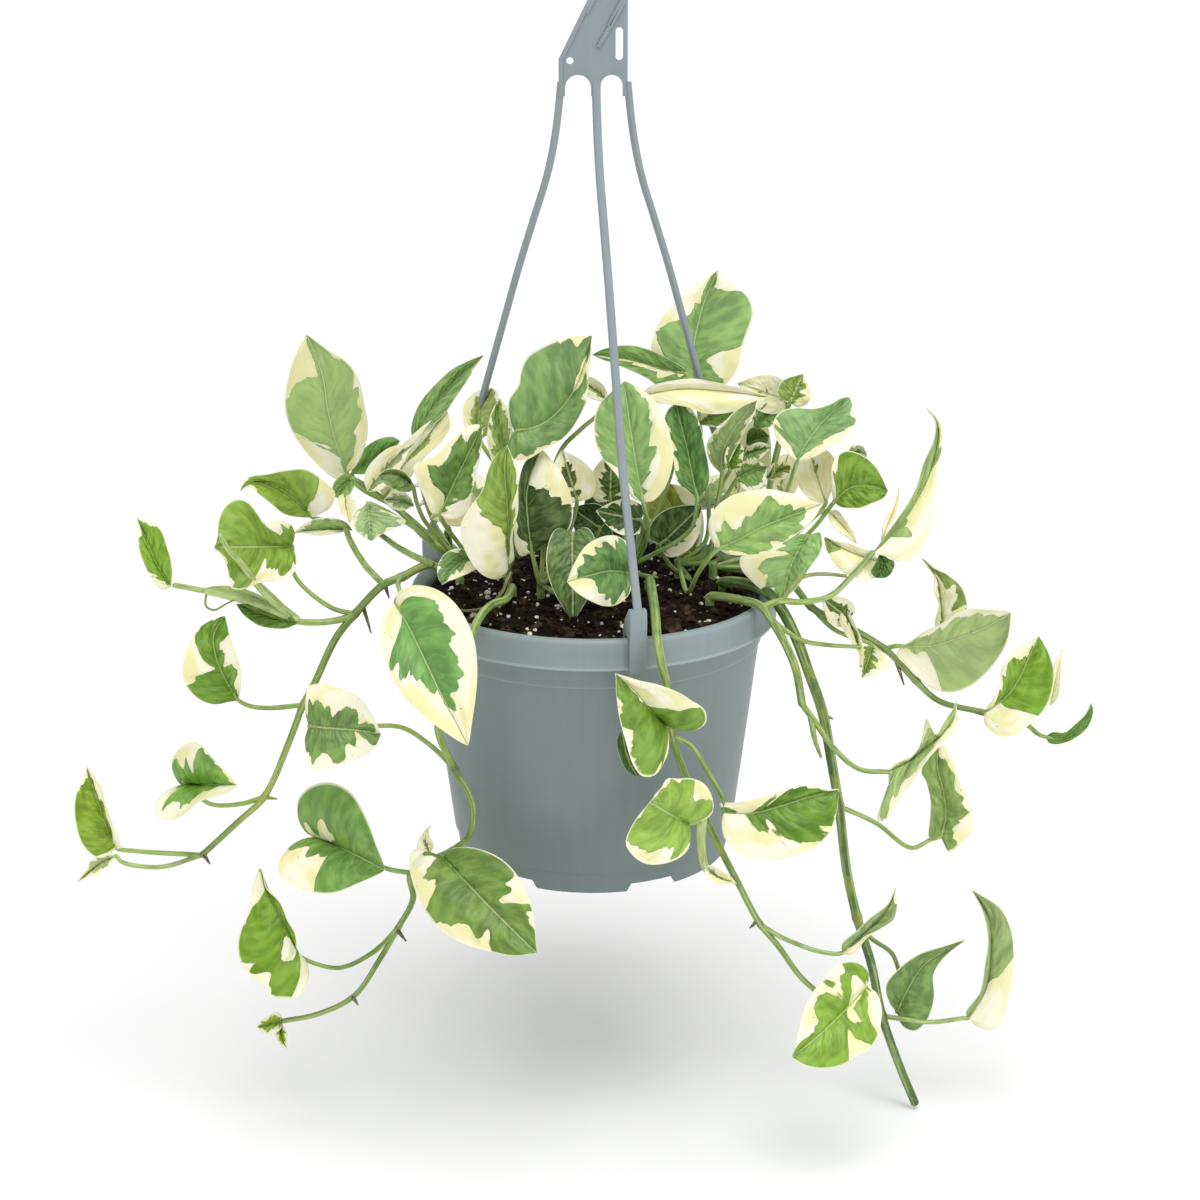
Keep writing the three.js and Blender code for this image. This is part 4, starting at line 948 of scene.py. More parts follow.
def blade_place(leaf, held, u, side, t):
    """The place on a blade at u from stalk to tip on one side (-1 left, 1 right), t of the way
    from the midrib to the edge. The upper side is the one that the frame's face looks to."""
    base, length, forward, face, right = held
    u, side, t = (np.atleast_1d(np.asarray(a, float)) for a in (u, side, t))
    half = u ** EDGE_RISE * (1 - u) ** EDGE_FALL / EDGE_PEAK
    lobe = leaf["lobe"] * (u / LOBE_AT) * np.exp(1 - u / LOBE_AT)
    x = (1 - t) * u ** VEIN_LAG + t * (u - lobe)
    y = t * half * leaf["width"] / 2
    bow = 4 * x * (1 - np.maximum(0, x))
    slope = (4 - 8 * np.maximum(0, x))[:, None]
    along = unit(forward + face * leaf["arch"] * slope + right * leaf["sweep"] * slope)
    up = unit(face - along * (along @ face)[:, None])
    out = np.cross(along, up) * side[:, None]
    fold = np.radians(np.where(side < 0, *leaf["fold"]))
    bend = (np.radians(np.where(side < 0, *leaf["curl"])) + 1e-4) / (leaf["width"] / 2)
    reach = (np.sin(fold + bend * y) - np.sin(fold)) / bend
    rise = (np.cos(fold) - np.cos(fold + bend * y)) / bend
    return (base + forward * (length * x)[:, None] + face * (length * leaf["arch"] * bow)[:, None]
            + right * (length * leaf["sweep"] * bow)[:, None] + out * reach[:, None]
            + up * (rise + unevenness(leaf, leaf["width"], u, side, t))[:, None])


def unevenness(leaf, width, u, side, t):
    """How far a blade stands above or below its even form: a wavy edge and puckers."""
    ripple = leaf["wave"] * t ** 2 * np.sin(9 * u + 2 * side + leaf["phase"])
    full = width / 40
    swell = (np.sin(2 * math.pi * (looks().leaf.veins * u ** 0.8 + 0.4 * t) + side) * 0.1
             * full * np.sin(math.pi * t) * np.sin(math.pi * u))
    frill = full * 0.45 * t ** 3 * np.sin(17 * u + 3 * side + 2 * leaf["phase"])
    return ripple + swell + frill


def line_at(points, at):
    """Places at fractions of the length of a smooth line through points."""
    places, _ = smooth_line(points, 12 * (len(points) - 1))
    walked = np.concatenate([[0], np.cumsum(np.linalg.norm(np.diff(places, axis=0), axis=1))])
    return np.stack([np.interp(at, walked / walked[-1], places[:, k]) for k in range(3)], 1)


def leaning(leaf, row, depth):
    """The depth at a row on a blade that leans back above its stalk and forward below it."""
    return depth + leaf["lean"] * (leaf["rib"][0][1] - row) * ROW_PITCH


def outline_3d(leaf, points, lift):
    """The places of one side of an outline, which lies lift nearer or farther than the rib."""
    flat = np.array([leaf["rib"][0][:2], *points, leaf["rib"][-1][:2]], float)
    walked = np.concatenate([[0], np.cumsum(np.linalg.norm(np.diff(flat, axis=0), axis=1))])
    along = walked / walked[-1]
    depths = [place[2] for place in leaf["rib"]]
    depth = np.interp(along, np.linspace(0, 1, len(depths)), depths)
    depth += lift * np.clip(np.sin(math.pi * along), 0, 1) ** 0.6
    return [seen((column, row, leaning(leaf, row, d))) for (column, row), d in zip(flat, depth)]


def traced_place(leaf, u, side, t):
    """The place at u and t on a blade given by its rib and outline, -1 being the left."""
    u, side, t = (np.atleast_1d(np.asarray(a, float)) for a in (u, side, t))
    rib_line = [seen((column, row, leaning(leaf, row, d))) for column, row, d in leaf["rib"]]
    rib = line_at(rib_line, u ** VEIN_LAG)
    ahead = line_at(rib_line, np.minimum(u ** VEIN_LAG + 0.02, 1.0)) - line_at(
        rib_line, np.maximum(u ** VEIN_LAG - 0.02, 0.0))
    edges = [line_at(outline_3d(leaf, leaf[key], lift), u)
             for key, lift in zip(("left", "right"), leaf["lift"])]
    edge = np.where(side[:, None] < 0, *edges)
    out = edge - rib
    width = np.linalg.norm(out, axis=1)
    upward = np.cross(out, ahead) * side[:, None] * (-1 if leaf["under"] else 1)
    up = upward / np.maximum(np.linalg.norm(upward, axis=1, keepdims=True), 1e-6)
    arch = leaf["bulge"] * width * 4 * t * (1 - t)
    rise = arch + unevenness(leaf, 2 * width.max(), u, side, t) * np.minimum(1, width / 3)
    return rib + out * t[:, None] + up * rise[:, None], width * t


REACHES = (-0.35, 0.06, 0.18, 0.31, 0.44, 0.56, 0.69, 0.82, 0.95, 1.25)


def reaches(code, u, side):
    """How far the green reaches on each side, from digits in ninths of the half-width."""
    both = []
    for digits in code.split("/"):
        values = np.array([REACHES[int(d)] for d in digits])
        both.append(np.interp(u, np.linspace(0.05, 0.95, len(values)), values))
    return np.where(side < 0, *both)


def make_blade(leaf, held, seed):
    large = held is None or leaf["width"] > LARGE_BLADE
    rows, columns = (44, 28) if large else (30, 16)
    thing, w, v = sheet(rows, columns)
    u = w ** 1.5
    across = 1 - 2 * v
    side = np.where(across < 0, -1.0, 1.0)
    t = np.sin(np.abs(across) * math.pi / 2) ** 0.8
    if held is None:
        hand = -side if leaf["under"] else side
        places, from_rib = traced_place(leaf, u, hand, t)
    else:
        hand = side
        places = blade_place(leaf, held, u, side, t)
        half = u ** EDGE_RISE * (1 - u) ** EDGE_FALL / EDGE_PEAK * leaf["width"] / 2
        from_rib = t * half
    set_corners(thing, to_row(places))
    inner = reaches(leaf["inner"], u, hand) if leaf["inner"] else np.full(len(u), -1.0)
    paint(thing, linear(leaf["green"]), seed,
          np.stack([reaches(leaf["code"], u, hand) - t, t - inner, from_rib], 1))
    used = np.empty(len(thing.data.loops), np.int32)
    thing.data.loops.foreach_get("vertex_index", used)
    thing.data.uv_layers["UVMap"].uv.foreach_set(
        "vector", np.stack([u[used], (1 - side[used] * t[used]) / 2], 1).astype(np.float32).ravel())
    wear(thing, UPPER)
    edit(thing, merge_doubles)
    return modify(thing, "SOLIDIFY", thickness=looks().leaf.thickness, offset=0,
                  material_offset=UNDER, use_quality_normals=True)


def make_stem(stem, number):
    """One stem with all its stalks and blades, as one piece."""
    place = in_plan if stem.get("in_plan") else seen
    outlook = np.array([0, 0, 5000.0]) if stem.get("in_plan") else EYE
    x, y = stem["root"]
    vine = stem.get("vine")
    girth = stem["girth"]
    green = linear(stem.get("skin", VINE_GREEN))
    draws = np.random.default_rng(100 + number)

    def at_soil(above):
        return np.array([x, y, soil_height(x, y) + above])

    top = 3.5 if vine else 8.0
    parts = [tube([at_soil(-ROOT_DEPTH), at_soil(top)], [girth, girth], green, draws.random())]
    crown = [] if vine else [at_soil(top - 1.5)]
    if vine:
        starts = {leaf["stalk"][0] for leaf in stem["blades"] if leaf["stalk"]}
        knuckles = [i + 2 for i, point in enumerate(vine) if point in starts]
        line = [at_soil(1.5), at_soil(3.5), *map(place, vine)]
        parts.append(tube(line, [girth * 0.98, stem["taper"]], green, draws.random(), 14, 8,
                          knuckles))
    for shoot in stem.get("shoots", ()):
        skin = linear(shoot["skin"]) if "skin" in shoot else blend(green, linear(0xA6BE6C), 0.35)
        parts.append(tube([place(p) for p in shoot["line"]], [shoot["start"], shoot["end"]],
                          skin, draws.random()))
    for start, end in stem.get("nubs", ()):
        middle = [(a + b) / 2 for a, b in zip(start, end)]
        parts.append(tube([place(start), place(middle), place(end)], [1.1, 0.8, 0.35],
                          linear(ROOT_BROWN), draws.random(), 8, 4))
    for i, leaf in enumerate(stem["blades"]):
        leaf = {**leaf, "phase": i * 1.7}
        held = None if "rib" in leaf else blade_frame(leaf, place, outlook)
        seed = draws.random()
        parts.append(make_blade(leaf, held, seed))
        if leaf["stalk"]:
            ends = ([seen(leaf["rib"][0]), traced_place(leaf, 0.15, 1, 0)[0][0]] if held is None
                    else [held[0], blade_place(leaf, held, 0.15, 1, 0)[0]])
            line = [*crown, *map(place, leaf["stalk"]), *ends]
            thin = leaf["stalk_radius"]
            stalk_green = blend(linear(leaf["green"]), linear(leaf["stalk_green"]), 0.6)
            parts.append(tube(line, [thin * 1.15, thin * 0.85], stalk_green, seed))
    whole = join(parts)
    smooth(whole, 50)
    settle(whole, stem["name"] + "_leafy", "foliage", stem["name"])


def traced(rib, left, right, code, green, **traits):
    """A blade given by its rib, which says how deep it lies, and its outline on each side."""
    under = traits.get("under")
    return {"rib": rib, "left": left, "right": right, "code": code, "green": green,
            "lift": (-3, -3), "lean": -LEAN if under else LEAN, "under": False, "bulge": 0.1,
            "wave": 0.5, "stalk": [], "stalk_radius": STALK_RADIUS, "inner": None,
            "stalk_green": 0x9DB868, **traits}


def blade(base, tip, width, code, green, **traits):
    return {"base": base, "tip": tip, "width": width, "code": code, "green": green,
            "turn": 0, "arch": 0, "sweep": 0, "fold": (12, 12), "curl": (0, 0), "lobe": 0.12,
            "wave": 0.6, "stalk": [], "stalk_radius": STALK_RADIUS, "inner": None,
            "stalk_green": 0x9DB868, **traits}


# Each blade: stalk end, tip, width, how far its green reaches and that green. The reach is
# written as digits from stalk to tip, the left half first.
STEMS = [
    dict(
        name="stem_left_trailing", root=(-62, -2), girth=2.1, taper=1.4,
        vine=[(430, 565, 0), (402, 577, -5), (383, 585, -8), (355, 614, -12), (336, 638, -15),
              (315, 682, -18), (303, 705, -20), (289, 742, -22), (264, 797, -25),
              (239, 821, -28), (202, 855, -30)],
        shoots=[
            dict(start=1.7, end=1.1, line=[(432, 564, -2), (412, 555, 1), (396, 546, 3),
                (384, 537, 5), (372, 529, 6)]),
            dict(start=0.8, end=0.7, skin=0x6E6440, line=[(511, 573, -38), (500, 595, -44),
                (487, 607, -44), (462, 611, -40), (440, 606, -36)]),
            dict(start=0.6, end=0.4, line=[(206, 595, -25), (206, 606, -25), (214, 610, -25),
                (226, 604, -24), (236, 599, -23)]),
            dict(start=1.7, end=1.3, skin=0xA3BC6A, line=[(355, 614, -12), (338, 620, -14),
                (296, 621, -18), (250, 598, -22), (200, 590, -25), (174, 585, -27)]),
            dict(start=2.1, end=1.0, skin=0xB4C97C, line=[(296, 619, -20), (270, 598, -32),
                (252, 578, -42), (240, 562, -49), (228, 549, -56), (220, 535, -60)]),
            dict(start=2.2, end=1.2, skin=0xBACF86, line=[(296, 620, -22), (262, 605, -26),
                (236, 597, -28), (206, 592, -28)]),
            dict(start=1.6, end=1.3, line=[(383, 584, -8), (365, 565, -4), (350, 540, 0),
                (345, 525, 3)]),
        ],
        nubs=[((363, 606, -11), (371, 633, -13)), ((385, 585, -8), (389, 598, -10)),
              ((204, 855, -31), (210, 864, -32)), ((264, 797, -25), (277, 799, -26))],
        blades=[
            traced([(312, 517, 3), (296, 500, -8), (276, 487, -16), (256, 481, -24),
                   (240, 491, -28)], [(300, 517), (286, 515), (272, 505), (262, 496),
                   (250, 486)], [(330, 508), (335, 493), (322, 480), (305, 469), (285, 469),
                   (265, 475), (247, 479)], "9999987/013699998", 0x86A838, stalk=[(345, 525, 3),
                   (330, 521, 4)]),
            traced([(352, 530, 8), (322, 530, 4), (293, 533, 0)], [(335, 534), (310, 534)],
                   [(345, 522), (322, 517), (305, 524)], "22222/77776", 0x8DB060),
            traced([(292, 546, -14), (265, 547, -28), (240, 547, -40), (214, 548, -48)],
                   [(296, 562), (290, 577), (275, 581), (258, 583), (243, 589), (231, 588),
                   (228, 570), (222, 556)], [(295, 535), (289, 523), (278, 520), (265, 523),
                   (256, 512), (247, 502), (236, 499), (226, 505), (219, 520), (217, 535)],
                   "678548887/595699998", 0x7FA233, stalk=[(355, 614, -12), (332, 608, -14),
                   (300, 583, -15), (292, 568, -14)]),
            blade((296, 621, -18), (219, 548, -28), 7, "99999/99999", 0xB4C97C, fold=(60, 60),
                  lobe=0.05),
            traced([(171, 586, -27), (156, 562, -31), (147, 540, -33), (137, 518, -34)],
                   [(162, 590), (150, 576), (141, 556), (139, 538)], [(172, 572), (168, 550),
                   (162, 531), (152, 523)], "27984/59986", 0x7FAA26),
            traced([(297, 624, -24), (268, 617, -24), (236, 604, -24)], [(285, 629), (262, 626),
                   (244, 616)], [(290, 616), (265, 609), (248, 604)], "99999/99999", 0x5C8420),
            traced([(238, 700, -30), (224, 676, -36), (215, 652, -40), (214, 635, -41),
                   (225, 616, -42)], [(226, 702), (212, 704), (197, 698), (186, 685), (182, 668),
                   (188, 645), (200, 627), (213, 619)], [(241, 690), (241, 672), (236, 655),
                   (230, 637), (228, 624)], "888923688/555655399", 0x68941F,
                   stalk=[(303, 705, -20), (268, 708, -24), (250, 706, -28)]),
            traced([(190, 785, -15), (212, 785, -34), (237, 785, -52)], [(180, 785), (172, 772),
                   (174, 757), (182, 746), (192, 742), (204, 747), (212, 757), (224, 772)],
                   [(178, 790), (163, 793), (155, 803), (156, 816), (170, 819), (187, 812),
                   (201, 803), (215, 797), (228, 791)], "999568884/455666400", 0x76A83A,
                   inner="550000000/000000000", stalk=[(264, 797, -25), (240, 804, -22),
                   (208, 803, -15)]),
            traced([(116, 848, -28), (106, 825, -33), (97, 797, -36), (87, 767, -38)],
                   [(108, 855), (95, 856), (83, 845), (76, 825), (75, 803), (80, 782)],
                   [(121, 848), (114, 828), (106, 802), (96, 779)], "29994/05553", 0x7C9E14,
                   stalk=[(200, 855, -30), (135, 851, -29)]),
            traced([(116, 856, -30), (100, 864, -32), (77, 882, -34)], [(108, 866), (92, 876)],
                   [(105, 853), (92, 859), (88, 868)], "66666/66666", 0xA9B87A,
                   stalk=[(202, 855, -30), (160, 867, -29), (122, 862, -30)]),
            traced([(396, 604, -72), (408, 625, -82), (427, 664, -93), (440, 692, -98),
                   (468, 746, -98)], [(400, 592), (412, 586), (430, 587), (448, 597), (463, 614),
                   (474, 637), (477, 665), (476, 695), (472, 722)], [(389, 606), (382, 620),
                   (381, 642), (388, 668), (402, 694), (420, 713), (437, 727), (454, 739)],
                   "067753421/014775210", 0x6FA550, lift=(-5, -5), stalk=[(402, 577, -5),
                   (398, 584, -28), (400, 594, -54)]),
            traced([(296, 621, -18), (250, 599, -22), (200, 590, -25)], [(280, 616), (245, 604),
                   (215, 597)], [(280, 606), (250, 591), (215, 586)], "55555/77777", 0xB4C97C,
                   lift=(2, 2)),
        ],
    ),
    dict(
        name="stem_front_left_trailing", root=(-37, -17), girth=2, taper=1.2,
        vine=[(505, 600, -46), (490, 606, -60), (476, 624, -77), (462, 665, -87),
              (445, 705, -87), (438, 728, -84), (454, 768, -76), (469, 795, -70),
              (473, 814, -70), (469, 835, -70), (458, 847, -70), (411, 873, -66),
              (413, 899, -64), (398, 928, -62), (380, 959, -60), (354, 996, -58),
              (318, 1014, -55), (283, 1021, -52)],
        nubs=[((398, 931, -63), (406, 941, -64)), ((353, 997, -59), (358, 1005, -60))],
        blades=[
            traced([(309, 726, -80), (330, 728, -78), (355, 730, -76), (381, 734, -74)],
                   [(306, 712), (306, 698), (309, 686), (325, 684), (345, 690), (360, 698),
                   (370, 712), (377, 724)], [(305, 740), (307, 756), (310, 768), (325, 768),
                   (345, 764), (362, 757), (374, 748)], "86353/96738", 0x6C8F45,
                   stalk=[(454, 768, -76), (430, 745, -68), (400, 727, -62), (350, 728, -64)]),
            traced([(322, 838, -60), (342, 848, -70), (362, 858, -80), (385, 870, -90)],
                   [(308, 831), (298, 815), (299, 798), (311, 786), (330, 782), (346, 790),
                   (360, 808), (372, 828), (379, 850)], [(302, 840), (286, 849), (278, 862),
                   (281, 878), (297, 888), (318, 893), (340, 891), (362, 882)],
                   "999999999/995349999", 0x6F9A44, inner="554420000/000000000",
                   stalk=[(411, 873, -66), (385, 868, -56), (350, 850, -44)]),
            traced([(443, 858, -76), (468, 884, -80), (498, 915, -84), (537, 953, -90)],
                   [(449, 850), (468, 847), (490, 853), (510, 867), (524, 886), (532, 908),
                   (535, 930)], [(432, 853), (413, 850), (409, 864), (413, 884), (422, 905),
                   (438, 927), (462, 943), (490, 951), (515, 956)], "999984889/567885599",
                   0x6A8C38, stalk=[(458, 847, -70), (450, 850, -73)]),
            traced([(298, 955, -60), (288, 930, -64), (275, 905, -67), (260, 868, -68)],
                   [(308, 968), (308, 985), (300, 997), (285, 998), (270, 996), (263, 984),
                   (250, 975), (241, 963), (238, 945), (243, 925), (250, 905), (253, 885)],
                   [(297, 944), (290, 925), (277, 900), (267, 884)], "009679921/99999", 0x6F9A12,
                   inner="005200000/00000", stalk=[(398, 928, -62), (372, 953, -61),
                   (337, 968, -60)]),
            traced([(283, 1021, -52), (272, 1023, -55), (257, 1027, -58)], [(278, 1032),
                   (266, 1034)], [(277, 1012), (265, 1018)], "66666/66666", 0x93B52E),
            traced([(282, 1022, -52), (281, 1035, -54), (287, 1049, -56)], [(285, 1030),
                   (287, 1040)], [(274, 1030), (279, 1042)], "66666/66666", 0x93B52E),
            traced([(430, 853, -74), (425, 840, -73), (431, 825, -72)], [(418, 849), (421, 835)],
                   [(434, 846), (428, 835)], "33333/33333", 0xA9B87A),
        ],
    ),
    dict(
        name="stem_front_trailing", root=(26, -8), girth=2.4, taper=1.2,
        vine=[(652, 592, -55), (655, 612, -70), (657, 636, -86), (661, 662, -93),
              (666, 683, -92), (671, 733, -88), (683, 769, -86), (706, 819, -86),
              (719, 846, -86), (737, 881, -84), (760, 924, -82), (779, 947, -80),
              (799, 975, -80), (818, 993, -80)],
        shoots=[
            dict(start=2.4, end=1.5, skin=0xAFC683, line=[(703, 812, -87), (701, 840, -88),
                (706, 868, -89), (722, 880, -90)]),
        ],
        nubs=[((758, 920, -82), (750, 928, -84))],
        blades=[
            traced([(667, 723, -94), (651, 711, -102), (636, 692, -109), (615, 673, -116)],
                   [(666, 735), (669, 748), (662, 763), (652, 776), (642, 776), (634, 766),
                   (627, 748), (622, 728), (619, 705), (616, 688)], [(678, 731), (695, 730),
                   (706, 722), (705, 711), (692, 702), (678, 691), (660, 684), (640, 682),
                   (625, 677)], "548887879/999910001", 0x6A9226, stalk=[(671, 733, -88),
                   (666, 728, -90)]),
            traced([(622, 730, -98), (627, 756, -98), (638, 778, -98)], [(634, 748),
                   (640, 768)], [(617, 742), (625, 768)], "99999/99999", 0x3F6A14,
                   lift=(0, 0)),
            traced([(688, 823, -90), (668, 813, -102), (650, 802, -112)], [(690, 833),
                   (688, 847), (680, 857), (664, 864), (647, 864), (633, 856), (625, 843),
                   (632, 826), (641, 812)], [(702, 820), (712, 810), (712, 797), (704, 784),
                   (690, 778), (678, 779), (668, 779), (662, 787), (654, 794)],
                   "677777778/988869888", 0x8FB544, stalk=[(706, 819, -86), (698, 822, -88)]),
            traced([(704, 866, -89), (720, 878, -90), (737, 884, -92)], [(712, 866), (726, 873)],
                   [(706, 876), (722, 884)], "44444/44444", 0xB8CC8A),
            traced([(724, 812, -88), (752, 813, -89), (780, 806, -90), (808, 797, -91),
                   (839, 789, -92)], [(720, 804), (735, 802), (755, 799), (775, 793), (792, 788),
                   (812, 787), (828, 789)], [(722, 822), (724, 836), (732, 848), (745, 856),
                   (765, 860), (790, 857), (812, 849), (828, 835), (836, 815), (838, 800)],
                   "720468875/001358899", 0x5A8512, stalk=[(672, 736, -88), (690, 745, -88),
                   (708, 772, -88), (724, 802, -88)]),
            traced([(842, 953, -80), (862, 935, -82), (882, 916, -84), (896, 888, -86)],
                   [(842, 943), (858, 930), (875, 915), (888, 902)], [(850, 955), (868, 938),
                   (882, 928), (893, 920), (897, 905)], "99999/05995", 0x8FA56A,
                   stalk=[(760, 924, -82), (783, 938, -81), (822, 952, -80)]),
            traced([(866, 987, -78), (845, 1010, -84), (820, 1034, -90), (792, 1057, -94)],
                   [(876, 993), (881, 1006), (881, 1022), (877, 1038), (868, 1050), (856, 1056),
                   (845, 1064), (828, 1068), (808, 1066)], [(868, 974), (860, 964), (848, 961),
                   (835, 966), (825, 979), (812, 993), (805, 1008), (799, 1028), (794, 1045)],
                   "443959999/999487368", 0x7FA82C, inner="000500000/456000000",
                   stalk=[(818, 993, -80), (838, 985, -80)]),
        ],
    ),
    dict(
        name="stem_right_cut", root=(59, -8), girth=2.8, taper=2, skin=0x547534,
        vine=[(742, 583, -18), (768, 593, -32), (782, 610, -38), (797, 640, -40),
              (809, 673, -40), (822, 710, -40), (832, 764, -40), (839, 806, -40),
              (847, 872, -40), (857, 917, -40), (871, 963, -40), (882, 1016, -40),
              (900, 1067, -40), (915, 1103, -40)],
        nubs=[((823, 714, -40), (833, 719, -41))],
        blades=[
            traced([(941, 836, -22), (946, 815, -22), (943, 790, -24), (937, 765, -25),
                   (939, 740, -26)], [(930, 838), (929, 820), (930, 800), (925, 780), (921, 772),
                   (930, 755)], [(950, 852), (962, 842), (972, 832), (972, 812), (966, 793),
                   (957, 772), (948, 753)], "99999/776655540", 0x7D9A4E, stalk=[(839, 806, -40),
                   (876, 823, -34), (912, 848, -26), (930, 840, -22)]),
            traced([(897, 1012, -34), (910, 985, -38), (925, 963, -41), (965, 940, -44)],
                   [(888, 1000), (886, 985), (897, 970), (915, 958), (940, 946)], [(903, 1026),
                   (915, 1031), (927, 1020), (934, 998), (933, 975), (945, 956)], "99999/99999",
                   0x6C8D46, lift=(-5, 1), stalk=[(857, 917, -40), (870, 937, -36),
                   (893, 955, -30), (900, 985, -28)]),
            traced([(968, 1018, -36), (985, 990, -38), (990, 955, -40), (988, 920, -42),
                   (972, 890, -42)], [(966, 1012), (981, 990), (987, 955), (984, 915)],
                   [(978, 1027), (992, 1030), (1003, 1018), (1010, 990), (1014, 960),
                   (1011, 930), (1000, 908), (985, 897)], "99999/000269799", 0x8FA765,
                   stalk=[(882, 1016, -40), (930, 1022, -38), (965, 1018, -36)]),
        ],
    ),
    dict(
        name="stem_right_trailing", root=(53, -27), girth=2.2, taper=1.8,
        vine=[(740, 600, -38), (762, 607, -47), (774, 624, -52), (786, 645, -53),
              (796, 670, -53), (802, 704, -53)],
        shoots=[
            dict(start=1.5, end=1.1, line=[(802, 704, -53), (816, 723, -52), (832, 746, -52),
                (859, 769, -50), (889, 772, -48)]),
            dict(start=1.6, end=0.7, line=[(811, 717, -52), (815, 740, -52), (821, 757, -52)]),
            dict(start=1.6, end=1.2, line=[(762, 607, -47), (780, 601, -47), (800, 602, -44),
                (830, 596, -38), (850, 578, -32), (873, 552, -26)]),
            dict(start=1.3, end=0.9, line=[(771, 619, -51), (786, 631, -48), (804, 641, -42),
                (828, 645, -32), (860, 647, -18)]),
            dict(start=1.0, end=0.8, skin=0x7C8A50, line=[(783, 600, -46), (793, 584, -42),
                (806, 576, -38), (824, 574, -36), (846, 576, -33)]),
        ],
        blades=[
            traced([(889, 771, -48), (910, 760, -50), (932, 744, -54), (952, 722, -57),
                   (957, 700, -58)], [(895, 766), (910, 757), (922, 740), (927, 718), (936, 735),
                   (950, 715)], [(888, 790), (880, 808), (878, 822), (888, 818), (900, 797),
                   (918, 775), (936, 752), (954, 728)], "66699/66655", 0xA5BE74),
            traced([(873, 553, -26), (895, 531, -25), (915, 503, -24), (929, 475, -22),
                   (937, 442, -21), (937, 422, -20), (925, 407, -20)], [(884, 536), (902, 512),
                   (917, 486), (925, 462), (933, 440), (934, 420)], [(885, 556), (903, 562),
                   (918, 553), (929, 533), (935, 508), (937, 485), (938, 465), (942, 445),
                   (941, 424)], "99999/004000950", 0x92AC66),
            traced([(880, 545, -24), (890, 518, -24), (899, 488, -24)], [(884, 525), (893, 505)],
                   [(895, 515), (899, 500)], "22222/22222", 0xC5CFA0),
            traced([(880, 562, -26), (862, 556, -24), (843, 548, -23), (824, 537, -22)],
                   [(878, 573), (870, 580), (855, 578), (840, 570), (829, 555)], [(873, 552),
                   (858, 547), (840, 541)], "000000499/000000009", 0x86A04C),
            traced([(880, 553, -24), (882, 566, -25), (876, 578, -26)], [(888, 558), (895, 562),
                   (892, 572), (884, 578)], [(876, 562), (870, 570)], "99999/99999", 0x3F6A1A),
        ],
    ),
    dict(
        name="stem_right_far", root=(60, 24), girth=2, taper=1.3,
        vine=[(748, 563, 20), (768, 565, 14), (786, 577, 8), (800, 593, 4), (811, 607, 0),
              (849, 627, -5), (885, 649, -8), (916, 681, -10), (939, 701, -12), (981, 712, -14),
              (1028, 725, -15)],
        nubs=[((896, 660, -9), (904, 685, -10)), ((846, 626, -5), (850, 638, -6)),
              ((812, 607, -1), (818, 614, -1))],
        blades=[
            traced([(902, 646, -12), (930, 646, -14), (958, 638, -17), (985, 627, -20),
                   (1011, 613, -24)], [(915, 637), (935, 628), (955, 615), (975, 608),
                   (995, 609)], [(897, 655), (905, 664), (917, 676), (930, 688), (950, 692),
                   (970, 686), (988, 672), (1002, 652), (1009, 634)], "566666532/013999999",
                   0x9DBB62, under=True, stalk=[(885, 649, -8), (896, 646, -11)]),
            traced([(872, 645, -10), (868, 660, -14), (862, 678, -18)], [(882, 652), (890, 665),
                   (880, 674)], [(862, 648), (860, 664)], "44443/77777", 0x7C9C40,
                   stalk=[(811, 607, 0), (835, 630, -6)]),
            blade((848, 618, -8), (822, 598, -12), 14, "33333/55555", 0x58741F,
                  stalk=[(849, 627, -5)]),
            traced([(945, 640, -2), (941, 610, -3), (938, 585, -4), (922, 558, -4)], [(936, 625),
                   (938, 605), (934, 590), (934, 577)], [(962, 625), (967, 605), (962, 588),
                   (950, 576), (935, 567)], "55555/99995", 0x7C9348, inner="00000/66650",
                   stalk=[(916, 681, -10), (945, 660, -2)]),
            traced([(985, 712, -16), (1006, 697, -18), (1020, 677, -20), (1028, 658, -22),
                   (1039, 636, -24)], [(992, 700), (999, 685), (1002, 666), (1012, 652),
                   (1028, 642)], [(985, 724), (996, 735), (1012, 736), (1030, 724), (1045, 709),
                   (1052, 692), (1054, 672), (1048, 652)], "026666521/001399998", 0x76A022,
                   stalk=[(981, 712, -14)]),
            traced([(1046, 737, -16), (1062, 739, -17), (1080, 727, -18), (1091, 703, -20)],
                   [(1052, 732), (1066, 732), (1080, 720), (1089, 708)], [(1050, 743),
                   (1068, 742), (1086, 729), (1093, 712)], "99999/99999", 0x5F8A2C,
                   lift=(-1, -1), stalk=[(1028, 725, -15), (1038, 734, -15)]),
            traced([(1050, 705, -14), (1055, 680, -14), (1063, 649, -14)], [(1050, 690),
                   (1054, 665)], [(1058, 700), (1060, 675)], "00000/00000", 0x9DB060),
            traced([(841, 606, -6), (853, 630, -9), (863, 672, -12)], [(849, 614), (862, 640)],
                   [(840, 622), (856, 650)], "66633/22222", 0x86A84C),
        ],
    ),
    dict(
        name="stem_left_upright", root=(-58, 17), girth=2.2,
        blades=[
            traced([(347, 473, 16), (335, 440, 14), (328, 410, 13), (322, 373, 12),
                   (307, 334, 12)], [(337, 478), (321, 468), (301, 446), (290, 427), (285, 406),
                   (287, 384), (292, 363), (300, 346)], [(354, 468), (364, 449), (368, 427),
                   (365, 406), (358, 380), (345, 361), (327, 348)], "003799425/046888887",
                   0x8FB552, lift=(-4, -4), under=True, stalk=[(440, 550, 16), (425, 532, 16),
                   (400, 510, 16), (360, 488, 16)]),
            traced([(368, 503, 4), (369, 520, 2), (371, 541, 0)], [(380, 509), (395, 515),
